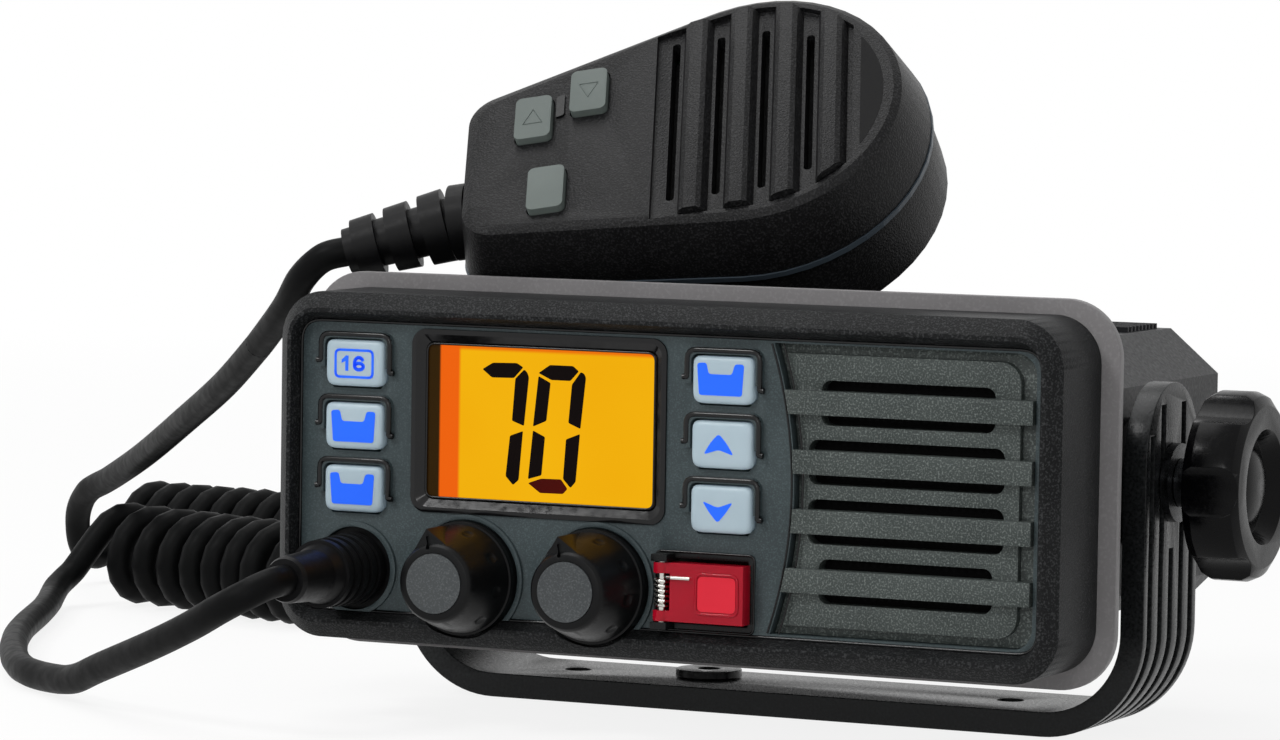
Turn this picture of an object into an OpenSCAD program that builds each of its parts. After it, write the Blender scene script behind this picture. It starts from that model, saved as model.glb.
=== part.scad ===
// Fixed-mount marine VHF radio with its bracket, fist microphone and curly cord.
// X runs across the radio, Y from its face to its back, Z up. The origin is the
// middle of the bracket's base, on the surface that the base stands on.

/* [Front panel] */
// Width of the bezel at its shoulder
bezel_w = 158.7; // [150:0.1:170]
// Height of the bezel at its shoulder
bezel_h = 65.8; // [65:0.1:67]
// Depth of the bezel from its shoulder to the gasket
bezel_depth = 19.3; // [18:0.1:26]
// Corner radius of the bezel
bezel_r = 9; // [7:0.5:12]
// Height of the sloped rim in front of the shoulder
rim_rise = 2.6; // [1.5:0.1:4]
// Width of the sloped rim between the window and the shoulder
rim_w = 3.4; // [2.6:0.1:4]
// Wall of the moulded front panel
panel_wall = 2.4; // [2:0.1:3]
// How far the face plate lies behind the rim
plate_recess = 3; // [2:0.1:4]
// How far the gasket reaches past the bezel
gasket_lip = 3.6; // [2:0.1:5]
// Thickness of the gasket
gasket_t = 2; // [1.5:0.1:3]

/* [Display] */
// Width of the display glass
lens_w = 47.1; // [40:0.1:48]
// From the bezel's top down to the display glass
display_top = 9.2; // [8.5:0.1:10]
// From the display glass down to the bezel's bottom
display_low = 27.8; // [27:0.1:30]
// Middle of the display across the panel
display_x = -25.2; // [-27:0.1:-24]
// Border of the display surround
surround_border = 2.85; // [2:0.05:3]

/* [Keys] */
// Width of a key
key_w = 12.3; // [10:0.1:12.6]
// Gap between two keys of a column
key_gap = 3.1; // [2.8:0.1:4]
// From the bezel's top down to the middle of the top row of keys
key_top = 13.4; // [13:0.1:14]
// From the middle of the lowest row of keys down to the bezel's bottom
key_low = 28.6; // [28:0.1:30]
// Middle of the left column of keys
left_keys_x = -63.3; // [-64:0.1:-62]
// Middle of the right column of keys
right_keys_x = 13; // [12.5:0.1:14]
// How far a key moves when it is pressed
key_travel = 0.8; // [0.3:0.1:0.8]

/* [Knobs] */
// Radius of a knob's skirt
knob_r = 10.7; // [9:0.1:11]
// How far a knob stands in front of the face plate
knob_h = 13.7; // [12:0.1:16]
// Middle of the squelch knob
squelch_x = -39.6; // [-40:0.1:-38]
// Middle of the volume knob
volume_x = -12.5; // [-14:0.1:-12]
// Height of the knobs' axes above the bezel's bottom
knob_low = 13; // [12.9:0.1:13.6]
// Radius of a knob's shaft
shaft_r = 3; // [2.5:0.1:3.2]

/* [Speaker grille] */
// Radius of the arc between the face plate and the grille
grille_arc_r = 83; // [75:1:95]
// Place of the arc on the centre line
grille_arc_x = 27.1; // [26.5:0.1:28]
// Height of a grille bar
bar_h = 4.4; // [3:0.1:5]
// Open height above and below each bar
slot_gap = 1.9; // [1:0.1:2]
// Radius of the loudspeaker
speaker_r = 20; // [17:0.5:21]

/* [Distress button] */
// Width of the well
well_w = 19.5; // [19:0.1:19.8]
// Height of the well
well_h = 14.1; // [13:0.1:14.2]

/* [Body] */
// How far each side of the body lies inside the bezel's
body_inset = 9.35; // [9:0.05:10]
// How much less high the body is than the bezel
body_less = 14; // [13.5:0.1:16]
// Depth of the body behind the gasket
body_depth = 89; // [80:1:110]
// Wall of the body
body_wall = 3; // [2:0.1:4]

/* [Bracket] */
// Gap between the body and each arm
arm_gap = 3.3; // [3:0.1:4]
// Depth of the bracket's arms, front to back
bracket_depth = 29; // [24:0.5:34]
// Thickness of the arms
arm_t = 4.6; // [4:0.1:4.8]
// Thickness of the base
base_t = 4.7; // [4:0.1:6]
// Height of the clamp axis above the surface
pivot_height = 48.2; // [47:0.1:50]
// Spacing of the two screw holes in the base
base_hole_pitch = 92; // [80:1:100]
// Radius of the screw holes in the base
base_hole_r = 2.6; // [2:0.1:3]
// Radius of the clamp studs
stud_r = 3; // [2.5:0.1:3.2]
// Radius of a clamp knob
clamp_r = 17.9; // [16:0.1:20]
// Thickness of a clamp knob
clamp_t = 11.4; // [10:0.1:14]

/* [Microphone] */
// Radius of the round end at the parting line
mic_r = 32.2; // [31:0.1:32.2]
// Distance from the middle of the round end to the cord end
mic_reach = 59; // [56:0.5:62]
// Half width of the cord end
mic_neck = 20.2; // [18:0.1:20.2]
// How far the cord end lies off the axis of the round end
mic_lean = 5; // [0:0.5:5]
// Depth of the front shell
mic_front_t = 13; // [12:0.5:14]
// Depth of the rear shell
mic_rear_t = 22.6; // [18:0.2:22.6]
// Wall of the shells
mic_wall = 2.2; // [1.8:0.1:2.6]

/* [Cord] */
// Diameter of the cord
cord_d = 5.8; // [5:0.1:6]
// Radius of the curls, to the middle of the cord
curl_r = 8.4; // [8:0.1:9]
// Spacing of the curls where the cord lies straight
curl_pitch = 6.4; // [6.3:0.1:7]
// Spacing of the curls round the bend
bend_pitch = 9.1; // [9:0.1:10]

/* [Hidden] */
$fn = 48;

fit = 0.05;          // running and sliding clearance, on the radius
seat = 0.2;          // gap of a piece that rests on its neighbour
eps = 0.01;

panel_height = 48.7; // the panel's centre line above the surface
front_reach = 65.5;  // the rim of the bezel in front of the clamp axis

body_w = bezel_w - 2*body_inset;
body_h = bezel_h - body_less;
bracket_w = body_w + 2*(arm_gap + arm_t);

window_w = bezel_w - 2*rim_w + 0.2;
window_h = bezel_h - 2*rim_w - 0.9;
draft = 0.75;
plate_w = window_w - 2*draft;
plate_h = window_h - 4*draft;
plate_r = 4;
plate_lip = 2.4;
plate_step = plate_recess + plate_lip;
plate_back = plate_step + 1.2;
gasket_y = rim_rise + bezel_depth;
chassis_y = gasket_y + gasket_t;
chassis_back = chassis_y + body_depth;
gasket_w = bezel_w + 2*gasket_lip;
gasket_h = bezel_h + 2*gasket_lip - 1.3;
flange_t = 2.6;
flange_w = bezel_w - 0.7;
flange_h = bezel_h - 1.8;
body_top = body_h/2 - 0.1;

board_y = plate_back + 3;
board_t = 1.6;
board_right = 25;
lens_h = bezel_h - display_top - display_low;
display_z = bezel_h/2 - display_top - lens_h/2;
surround_slope = 1.9;
surround_w = lens_w + 2*surround_border;
surround_h = lens_h + 2*surround_border;

key_pitch = (bezel_h - key_top - key_low)/2;
key_h = key_pitch - key_gap;
top_row_z = bezel_h/2 - key_top;
key_flange = 1;
key_front = plate_recess - 1.5;
hood_t = 1.3;

knob_z = knob_low - bezel_h/2;
cap_r = 5.7;
bush_r = 4.4;

gland_x = -63.3;
gland_z = 13.5 - bezel_h/2;
gland_ring_r = 7.9;
relief_len = 28;
relief_nose_r = 4;

grille_right = plate_w/2 - 4.4;
grille_h = plate_h - 5.1;
bar_pitch = (grille_h - 6.4)/4;
grille_gap = 1.5;
bar_mid = -0.2;
bars = 4;
speaker_x = (grille_arc_x + grille_right)/2;

well_x = 9.55;
well_z = 13.05 - bezel_h/2;
well_r = 0.9;
well_floor = plate_recess + 4.8;
tray_wall = 1;
cover_w = 16.4;
cover_h = 10.9;
hinge_x = 1.9;
hinge_y = 0.6;
hinge_pin_r = 0.8;
lug_r = 1.6;
spring_r = hinge_pin_r + 0.5;
spring_wire = 0.6;
spring_curls = 6;
spring_pitch = 0.9;

screw_x = bezel_w/2 - 4.95;
screw_z = bezel_h/2 - 12.9;
screw_r = 1.5;

antenna_x = -38;
power_x = 34;
power_z = -6;
rib_h = 1;
main_z = -12;
board_depth = body_depth - 13;
board_middle_y = chassis_y + body_depth/2 + 0.5;

pivot_y = front_reach;
pivot_rise = pivot_height - panel_height;
pad_r = 12;
insert_r = 5.5;
insert_len = body_wall + 2.9;
washer_t = 1.5;
collar_len = 5.1;
arm_in = bracket_w/2 - arm_t;
arm_top = pivot_height + 19;
groove_pitch = 5.6;
groove_w = 2.4;
groove_depth = 1;
centre_boss_x = 19.3;
clamp_x = bracket_w/2 + washer_t + collar_len + 0.4;

mic_place = [-1.6, -19.5, 117.8];
mic_turn = [45, -9.3, 13.7];
mic_face_r = mic_r - 4;
mic_back = -mic_front_t - mic_rear_t;
mic_step_x = -19.4;
mic_key_t = 4.6;
mic_keys = [[-43.2, 4.1], [-32.4, 9.4], [-39.8, -15.2]];
mic_key_w = 7.2;
mic_key_h = 11;
mic_rib_pitch = 8.9;
mic_rib_w = 6.2;
mic_slot_w = 1.6;
lever_pivot_r = 2.4;
ptt_x = -2;
ptt_len = 42;
lever_x = ptt_x - ptt_len/2 + lever_pivot_r;
relief_depth = -15;
relief_bend = 9;
relief_body = 22;
mic_nose_r = 4.4;

cord_rise = curl_r + cord_d/2 + 0.1;
curl_sides = 6;
curl_rings = 8;
tube_sides = 10;
front_curls = 7.5;
bend_curls = 11;
rear_curls = 14.5;
loose_curls = 6;     // the first curls, pulled apart less and less along the row
loose_reach = 9.6;
bend_r = 30;
coil_start = [-206, 96];
coil_heading = -20;
curls = front_curls + bend_curls + rear_curls;

// ---- placing and outlines ----

module at_panel() { translate([0, -front_reach, panel_height]) children(); }
module at_pivot() { translate([0, 0, pivot_height]) children(); }
module at_mic() { translate(mic_place) rotate(mic_turn) children(); }

// A flat outline in X and Z, made solid from depth a to depth b along Y.
module slab(a, b) { translate([0, b, 0]) rotate([90, 0, 0]) linear_extrude(b - a) children(); }

// A round piece about Y: its profile's second value runs towards the viewer.
module turned(x, y, z) { translate([x, y, z]) rotate([90, 0, 0]) rotate_extrude() children(); }

// The same, with its profile running away from the viewer.
module turned_back(x, y, z) { translate([x, y, z]) rotate([-90, 0, 0]) rotate_extrude() children(); }

// A round piece about X: its profile's second value runs outwards.
module turned_x(x) { translate([x, 0, 0]) rotate([0, 90, 0]) rotate_extrude() children(); }

module rounded(w, h, r) {
    square([w - 2*r, h], center = true);
    square([w, h - 2*r], center = true);
    for (x = [-1, 1], z = [-1, 1]) translate([x*(w/2 - r), z*(h/2 - r)]) circle(r);
}

module ring(outer, inner) { difference() { circle(outer); circle(inner); } }

// A straight bar from height a to height b in a turned piece.
module band(r0, r1, a, b) { translate([r0, a]) square([r1 - r0, b - a]); }

function column_z(i) = top_row_z - i*key_pitch;

// ---- front panel ----

module front_panel() color("#17181b") at_panel() {
    difference() {
        union() {
            hull() {
                slab(0, eps) rounded(window_w + 1.6, window_h + 1.6, bezel_r - 3, $fn = 32);
                slab(rim_rise - eps, rim_rise) rounded(bezel_w, bezel_h, bezel_r, $fn = 32);
            }
            slab(rim_rise, gasket_y) rounded(bezel_w, bezel_h, bezel_r);
        }
        hull() {
            slab(-eps, 0) rounded(window_w, window_h, plate_r + 1, $fn = 32);
            slab(plate_recess, plate_recess + eps) rounded(plate_w, plate_h, plate_r, $fn = 32);
        }
        slab(plate_recess, plate_step + 1) rounded(plate_w, plate_h, plate_r);
        slab(plate_step, gasket_y + 1)
            rounded(bezel_w - 2*panel_wall, bezel_h - 2*panel_wall, bezel_r - panel_wall);
        // scallops in the rim, where the knobs' skirts reach over it
        for (x = [squelch_x, volume_x]) translate([x, plate_recess, knob_z]) rotate([90, 0, 0])
            cylinder(plate_recess + 1, knob_r + 0.7, knob_r + 0.7);
    }
    // bosses that take the screws from behind
    for (x = [-1, 1], z = [-1, 1])
        difference() {
            intersection() {
                translate([x*screw_x, gasket_y, z*screw_z]) rotate([90, 0, 0]) cylinder(10, 3.6, 3.6);
                slab(0, gasket_y) rounded(bezel_w - panel_wall, bezel_h - panel_wall, bezel_r - 1);
            }
            translate([x*screw_x, gasket_y + 1, z*screw_z]) rotate([90, 0, 0])
                cylinder(9, screw_r + fit, screw_r + fit);
        }
}

// The part of the panel right of the arc, where the grille sits.
module grille_field(gap, right, high) {
    difference() {
        translate([right - 60, 0]) rounded(120, high, 4);
        translate([-60 - 60, -60]) square([120 + 20, 120]);
        translate([grille_arc_x - grille_arc_r, 0]) circle(grille_arc_r + gap, $fn = 160);
    }
}

module key_outline(w, h) {
    cut = 2.2;
    difference() {
        rounded(w, h, 1.4);
        for (s = [-1, 1]) translate([s*w/2, -h/2]) rotate(45) square(cut, center = true);
    }
}

module key_hole(x, z) { translate([x, z]) key_outline(key_w + 0.7, key_h + 0.7); }

module face_plate() color("#31363d") at_panel() {
    difference() {
        union() {
            slab(plate_recess, plate_step) rounded(plate_w - 2*fit, plate_h - 2*fit, plate_r);
            slab(plate_step, plate_back) rounded(plate_w + 2, plate_h + 2, plate_r + 1);
        }
        slab(0, 20) {
            for (i = [0:2]) {
                key_hole(left_keys_x, column_z(i));
                key_hole(right_keys_x, column_z(i));
            }
            translate([display_x, display_z]) rounded(surround_w + 2*fit, surround_h + 2*fit, 3);
            translate([gland_x, gland_z]) circle(gland_ring_r);
            for (x = [squelch_x, volume_x]) translate([x, knob_z]) circle(bush_r + 0.3);
            translate([well_x, well_z]) rounded(well_w, well_h, well_r);
            grille_field(0, plate_w/2 - 1.2, plate_h - 1.6);
        }
    }
    // hood over the top and shoulders of each key
    slab(plate_recess - 1.1, plate_recess)
        for (x = [left_keys_x, right_keys_x], i = [0:2]) translate([x, column_z(i)])
            difference() {
                rounded(key_w + 0.7 + 2*hood_t, key_h + 0.7 + 2*hood_t, 2.2);
                key_outline(key_w + 0.7, key_h + 0.7);
                translate([-key_w, -key_h - 0.8]) square([2*key_w, key_h]);
            }
    // seats round the knobs and the gland
    slab(plate_recess - 0.8, plate_recess) {
        for (x = [squelch_x, volume_x])
            translate([x, knob_z]) intersection() {
                ring(knob_r + 1.2, knob_r + 0.3);
                translate([-20, -plate_h/2 - knob_z + fit]) square([40, 40]);
            }
        translate([gland_x, gland_z]) intersection() {
            ring(gland_ring_r + 1, gland_ring_r);
            translate([-plate_w/2 - gland_x + 0.2, -plate_h/2 - gland_z]) square([40, 40]);
        }
    }
}

module bar_outline(i) {
    translate([0, bar_mid + ((bars - 1)/2 - i)*bar_pitch]) children();
}

module speaker_grille() color("#2c2f2d") at_panel() {
    difference() {
        slab(plate_recess + 0.6, plate_back) grille_field(grille_gap, grille_right, grille_h);
        slab(0, 20) for (i = [0:bars - 1]) bar_outline(i) {
            outer = (i == 0 || i == bars - 1);
            x0 = grille_arc_x + (outer ? 4.9 : 2.6);
            x1 = grille_right - (outer ? 4.9 : 2.9);
            translate([(x0 + x1)/2, 0]) rounded(x1 - x0, bar_h + 2*slot_gap, 1.8);
        }
    }
    // rim that carries the island behind the dark groove
    slab(plate_back - 1.4, plate_back) difference() {
        grille_field(0.1, plate_w/2 - 1.3, plate_h - 1.8);
        grille_field(grille_gap, grille_right, grille_h);
    }
    slab(plate_recess - 1.2, plate_recess + 2) for (i = [0:bars - 1])
        intersection() {
            bar_outline(i) translate([grille_arc_x - 7, -bar_h/2]) square([plate_w/2, bar_h]);
            grille_field(0.2, plate_w/2 - 1.4, plate_h - 2);
        }
}

module speaker_mesh() color("#0c0c0d") at_panel()
    slab(plate_back + seat/2, plate_back + 0.8) translate([speaker_x, 0])
        rounded(2*speaker_r, grille_h - 4, 3);

module speaker() color("#2a2a2c") at_panel()
    turned(speaker_x, plate_back + 1 + 13.4, 0) {
        band(0, 9, 0, 5);
        band(0, speaker_r - 4, 5, 6.5);
        polygon([[speaker_r - 5.5, 5], [speaker_r, 11.4], [speaker_r, 13.4],
            [speaker_r - 2, 13.4], [speaker_r - 2.5, 11.8], [6, 6.5], [6, 5]]);
    }

module gasket() color("#77757a") at_panel()
    slab(gasket_y, chassis_y) difference() {
        rounded(gasket_w, gasket_h, bezel_r + gasket_lip/2);
        rounded(body_w - 1, body_h - 1, 5);
        for (x = [-1, 1], z = [-1, 1]) translate([x*screw_x, z*screw_z]) circle(screw_r + 0.2);
    }

// ---- display ----

module display_surround() color("#08080a") at_panel() difference() {
    slab(plate_recess - 0.3, plate_back) translate([display_x, display_z])
        rounded(surround_w, surround_h, 3);
    slab(0, 20) translate([display_x, display_z]) rounded(lens_w + 2*fit, lens_h + 2*fit, 1.2);
    // walls that slope in from the front edge to the glass
    hull() {
        slab(plate_recess - 0.4, plate_recess - 0.3) translate([display_x, display_z])
            rounded(lens_w + 2*surround_slope, lens_h + 2*surround_slope, 2.4, $fn = 32);
        slab(plate_recess + 1, plate_recess + 1.1) translate([display_x, display_z])
            rounded(lens_w + 0.2, lens_h + 0.2, 1.3, $fn = 32);
    }
}

module display_lens() color("#fdb400") at_panel()
    slab(plate_recess + 1, plate_step) translate([display_x, display_z]) rounded(lens_w, lens_h, 1.2);

module lcd_panel() color("#8a7a2a") at_panel()
    slab(plate_step + seat, plate_step + 2.2) translate([display_x, display_z])
        rounded(lens_w - 0.4, lens_h - 0.4, 1.1);

module lcd_backlight() color("#e8e4d8") at_panel()
    slab(plate_step + 2.3, board_y - seat) translate([display_x, display_z])
        square([lens_w - 2, lens_h - 2], center = true);

// ---- keys ----

module key(x, i) color("#a9bccb") at_panel() translate([x, 0, column_z(i)]) {
    slab(key_front, plate_back + seat + 1) key_outline(key_w, key_h);
    slab(plate_back + seat, plate_back + seat + 1)
        square([key_w + 2.4, min(key_h + 2.4, key_pitch - 0.4)], center = true);
    turned(0, board_y - key_travel - 0.1, 0) band(0, 1.6, 0, 1.2);
}

module key_16() key(left_keys_x, 0);
module key_channel() key(left_keys_x, 1);
module key_call() key(left_keys_x, 2);
module key_scan() key(right_keys_x, 0);
module key_up() key(right_keys_x, 1);
module key_down() key(right_keys_x, 2);

// ---- knobs, their shafts and controls ----

module knob(x) at_panel() difference() {
    union() {
        turned(x, plate_recess, knob_z) {
            band(0, knob_r, 0.3, 3);
            polygon([[0, 3], [knob_r - 0.4, 3], [knob_r - 0.9, 5], [knob_r - 1.7, 8],
                [knob_r - 2.7, 11], [knob_r - 3.3, knob_h - 0.8], [knob_r - 3.8, knob_h - 0.2],
                [knob_r - 4.6, knob_h], [0, knob_h]]);
        }
        // pointer, a beak that rises from the front rim
        slab(plate_recess - knob_h + 1, plate_recess - 3.5) translate([x, knob_z]) rotate(12)
            polygon([[-4.6, 5.4], [0, knob_r - 0.4], [4.6, 5.4], [0, 0]]);
    }
    turned(x, plate_recess, knob_z) {
        band(0, cap_r, knob_h - 0.8, knob_h + 1);
        band(0, shaft_r + 0.02, 0, knob_h - 4);
    }
    // hollows round the side for the fingers
    translate([x, plate_recess, knob_z]) rotate([90, 0, 0])
        for (a = [150:40:430]) rotate(a) translate([knob_r + 1.3, 0, 6.9]) sphere(2.9);
    // engraved mark on the pointer
    slab(plate_recess - knob_h, plate_recess - knob_h + 1.5) translate([x, knob_z]) rotate(12)
        translate([0, 7.7]) rounded(0.8, 2.6, 0.35);
}

module knob_cap(x) color("#5b5e61") at_panel() turned(x, plate_recess, knob_z)
    band(0, cap_r - 0.1, knob_h - 0.8, knob_h + 0.2);

module knob_shaft(x) color("silver") at_panel() turned(x, plate_recess, knob_z)
    band(0, shaft_r, plate_recess - board_y - board_t - 4, knob_h - 4.1);

module knob_pot(x) color("#6c6f73") at_panel() {
    turned(x, plate_recess, knob_z)
        band(shaft_r + fit, bush_r, plate_recess - board_y - board_t - 0.5, -0.4);
    difference() {
        slab(board_y + board_t, board_y + board_t + 7) translate([x, knob_z]) rounded(13, 13, 1);
        turned(x, plate_recess, knob_z)
            band(0, shaft_r + fit, plate_recess - board_y - board_t - 4.2, 5);
    }
}

module squelch_knob() color("#202124") knob(squelch_x);
module squelch_cap() knob_cap(squelch_x);
module squelch_shaft() knob_shaft(squelch_x);
module squelch_pot() knob_pot(squelch_x);
module volume_knob() color("#202124") knob(volume_x);
module volume_cap() knob_cap(volume_x);
module volume_shaft() knob_shaft(volume_x);
module volume_pot() knob_pot(volume_x);

// ---- distress button under its hinged cover ----

module at_well() { at_panel() translate([well_x, 0, well_z]) children(); }

module distress_tray() color("#141416") at_well() {
    slab(plate_recess, well_floor + tray_wall) difference() {
        rounded(well_w - 2*fit, well_h - 2*fit, well_r);
        rounded(well_w - 2*tray_wall, well_h - 2*tray_wall, 0.4);
    }
    slab(well_floor, well_floor + tray_wall) difference() {
        rounded(well_w - 1, well_h - 1, 0.6);
        translate([2, 0]) circle(2.2);
    }
    // ears that hold the hinge pin above and below the cover
    for (s = [-1, 1]) difference() {
        translate([hinge_x - well_x - lug_r, hinge_y - lug_r, s*(cover_h/2 + 0.85) - 0.65])
            cube([2*lug_r, well_floor - hinge_y + lug_r + 0.5, 1.3]);
        translate([hinge_x - well_x, hinge_y, s*(cover_h/2 + 0.85) - 1]) cylinder(2, hinge_pin_r, hinge_pin_r);
    }
}

module distress_cover() color("#c01020") at_well() {
    x0 = hinge_x - well_x;
    difference() {
        translate([x0 + lug_r + 0.4, hinge_y - 1, -cover_h/2]) cube([cover_w - lug_r, 3.4, cover_h]);
        translate([x0 + lug_r + 1.6, hinge_y + 0.2, -cover_h/2 + 1.1])
            cube([cover_w - lug_r - 2.4, 4, cover_h - 2.2]);
    }
    // two knuckles round the pin
    for (s = [-1, 1]) difference() {
        union() {
            translate([x0, hinge_y, s*(cover_h/2 - 1) - 1]) cylinder(2, lug_r, lug_r);
            translate([x0, hinge_y - 1, s*(cover_h/2 - 1) - 1]) cube([lug_r + 1, 2, 2]);
        }
        translate([x0, hinge_y, -cover_h]) cylinder(2*cover_h, hinge_pin_r + fit, hinge_pin_r + fit);
    }
}

module distress_pin() color("silver") at_well()
    translate([hinge_x - well_x, hinge_y, -cover_h/2 - 1.5])
        cylinder(cover_h + 3, hinge_pin_r - 0.01, hinge_pin_r - 0.01);

// A closing spring wound round the pin, one leg in the well and one on the cover.
spring_path = let (h = spring_curls*spring_pitch/2) concat(
    [[spring_r, well_floor - hinge_y - 0.2, -h], [spring_r, 0.6, -h]],
    [for (i = [1:spring_curls*8 - 1]) [spring_r*cos(45*i), -spring_r*sin(45*i), -h + i*spring_pitch/8]],
    [[spring_r, 0, h], [spring_r + 0.3, -1.3, h], [spring_r + 1.2, -1.5, h], [spring_r + 5, -1.5, h]]);
module distress_spring() color("silver") at_well()
    translate([hinge_x - well_x, hinge_y, 0]) tube(spring_path, spring_wire/2, 6);

module distress_button() color("#e0232e") at_well() translate([2, 0, 0]) {
    slab(plate_recess + 0.9, plate_recess + 3.4) rounded(10, 8, 1.5);
    turned(0, well_floor + 0.6, 0) band(0, 2.1, 0, 2);
}

// ---- body ----

module body_outline(inset) {
    w = body_w/2 - inset;
    top = body_top - inset;
    low = -body_h/2 - 0.1 + inset;
    cut = 10 - 0.4*inset;
    polygon([[-w, low + 4], [-w + 4, low], [w - 4, low], [w, low + 4], [w, top - 8.5 + 0.2*inset],
        [w - cut, top], [-w + cut, top], [-w, top - 8.5 + 0.2*inset]]);
}

module chassis() color("#2b2c2f") at_panel() {
    difference() {
        union() {
            slab(chassis_y, chassis_back) body_outline(0);
            slab(chassis_y, chassis_y + flange_t) rounded(flange_w, flange_h, bezel_r);
        }
        slab(chassis_y - 1, chassis_back - body_wall) body_outline(body_wall);
        for (x = [-1, 1], z = [-1, 1]) translate([x*screw_x, chassis_y + 5, z*screw_z])
            rotate([90, 0, 0]) cylinder(10, screw_r + fit, screw_r + fit);
        // groove along the side where the two halves of the body meet
        for (x = [-1, 1]) translate([x*body_w/2, (chassis_y + flange_t + chassis_back)/2, -9])
            cube([1, chassis_back - chassis_y - flange_t + 0.2, 0.8], center = true);
        for (x = [-1, 1]) translate([x*(body_w/2 - insert_len), pivot_y, pivot_rise])
            rotate([0, x*90, 0]) cylinder(insert_len + 5, insert_r, insert_r);
        translate([antenna_x, chassis_back + 1, 0]) rotate([90, 0, 0]) cylinder(body_wall + 2, 6, 6);
        translate([power_x, chassis_back + 1, power_z]) rotate([90, 0, 0]) cylinder(body_wall + 2, 5, 5);
    }
    // bosses behind the thread inserts
    for (x = [-1, 1]) difference() {
        translate([x*(body_w/2 - insert_len - 2), pivot_y, pivot_rise]) rotate([0, x*90, 0])
            cylinder(insert_len, insert_r + 3, insert_r + 3);
        translate([x*(body_w/2 - insert_len), pivot_y, pivot_rise]) rotate([0, x*90, 0])
            cylinder(insert_len + 1, insert_r, insert_r);
    }
    // cooling ribs across the back of the top
    for (i = [0:8]) translate([0, chassis_back - 3 - i*2, body_top + rib_h/2])
        cube([2*(body_w/2 - 12), 0.9, rib_h], center = true);
    // rails that carry the main board
    for (x = [-1, 1]) translate([x*(body_w/2 - body_wall - 2), board_middle_y, main_z - 2.2])
        cube([5, board_depth - 6, 4], center = true);
}

module panel_board() color("#1f6b3a") at_panel() difference() {
    left = -bezel_w/2 + panel_wall + 3.5;
    slab(board_y, board_y + board_t) difference() {
        translate([(left + board_right)/2, 0]) rounded(board_right - left, bezel_h - 12, 3);
        translate([-bezel_w, -bezel_h]) square([bezel_w + gland_x + gland_ring_r + 3,
            bezel_h + gland_z + gland_ring_r + 3]);
        for (x = [squelch_x, volume_x]) translate([x, knob_z]) circle(bush_r + fit);
        translate([-screw_x, screw_z]) circle(4.6);
    }
}

module main_board() color("#1f6b3a") at_panel() {
    translate([0, board_middle_y, main_z + board_t/2 - 0.2])
        cube([body_w - 2*body_wall - 1, board_depth, board_t], center = true);
    translate([-body_w/7, board_middle_y - 5, main_z + 4]) cube([body_w*0.43, board_depth*0.6, 7], center = true);
    translate([body_w/4, board_middle_y + 3, main_z + 3.5]) cube([body_w*0.19, board_depth*0.52, 6], center = true);
}

module antenna_socket() color("silver") at_panel() turned_back(antenna_x, chassis_back, 0) {
    difference() {
        union() {
            band(0, 12, 0, 2);
            band(0, 7.94, 2, 14);
            band(0, 5.9, -6, 0);
        }
        band(2, 5.6, 8, 15);
        band(0, 1.9, 9, 15);
    }
}

module power_gland() color("#18181a") at_panel() turned_back(power_x, chassis_back, power_z) {
    band(0, 4.9, -4, 0);
    band(0, 7.5, 0, 3);
    band(0, 5.5, 3, 7);
    band(0, 6.6, -6, -4);
}

module panel_screws() color("silver") at_panel()
    for (x = [-1, 1], z = [-1, 1])
        turned(x*screw_x, chassis_y + flange_t, z*screw_z) {
            band(0, screw_r, -0.5, 8);
            band(0, 2.7, -2, 0);
        }

module thread_inserts() color("goldenrod") at_pivot()
    for (x = [-1, 1]) mirror([x < 0 ? 1 : 0, 0, 0])
        turned_x(body_w/2 - insert_len + 0.02) band(stud_r + fit, insert_r - 0.02, 0, insert_len - 0.1);

module friction_pads() color("#1c1c1e") at_pivot()
    for (x = [-1, 1]) mirror([x < 0 ? 1 : 0, 0, 0])
        turned_x(body_w/2) band(stud_r + 0.5, pad_r, 0, arm_in - body_w/2 - 0.1);

// ---- bracket and clamps ----

module bracket_profile(inset) {
    w = bracket_w/2 - inset;
    r = 20 - inset;
    difference() {
        translate([0, 60]) rounded(2*w, 2*(60 - inset), r);
        translate([-100, 75]) square([200, 100]);
    }
}

module bracket() color("#1d1e20") difference() {
    union() {
        intersection() {
            translate([0, bracket_depth/2, 0]) rotate([90, 0, 0]) linear_extrude(bracket_depth) difference() {
                bracket_profile(0);
                translate([0, 80]) rounded(2*arm_in, 2*(80 - base_t), 20 - arm_t);
            }
            // arms rounded over at the top
            rotate([90, 0, 90]) linear_extrude(200, center = true) union() {
                translate([-bracket_depth/2, 0]) square([bracket_depth, arm_top - bracket_depth/2]);
                translate([0, arm_top - bracket_depth/2]) circle(bracket_depth/2, $fn = 96);
            }
        }
        translate([-centre_boss_x, 4, 0]) cylinder(base_t + 1.5, 6.5, 6.5);
    }
    // grooves down the outside of the arms and round the lower corners
    for (i = [-2:2]) translate([0, i*groove_pitch + groove_w/2, 0]) rotate([90, 0, 0])
        linear_extrude(groove_w) difference() {
            bracket_profile(-1);
            bracket_profile(groove_depth);
            translate([-200, groove_top(i)]) square([400, 100]);
            translate([-bracket_w/2 + 17, -10]) square([bracket_w - 34, 60]);
        }
    for (x = [-1, 1]) {
        translate([x*arm_in, 0, pivot_height]) rotate([0, x*90, 0])
            translate([0, 0, -5]) cylinder(arm_t + 10, stud_r + 0.08, stud_r + 0.08);
        translate([x*base_hole_pitch/2, 0, -1]) cylinder(base_t + 2, base_hole_r, base_hole_r);
    }
    translate([-centre_boss_x, 4, -1]) cylinder(base_t + 4, 2.2, 2.2);
}

function groove_top(i) = i == 0 ? pivot_height - 12.5 : abs(i) == 1 ? arm_top - 4 : arm_top - 9.6;

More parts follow.
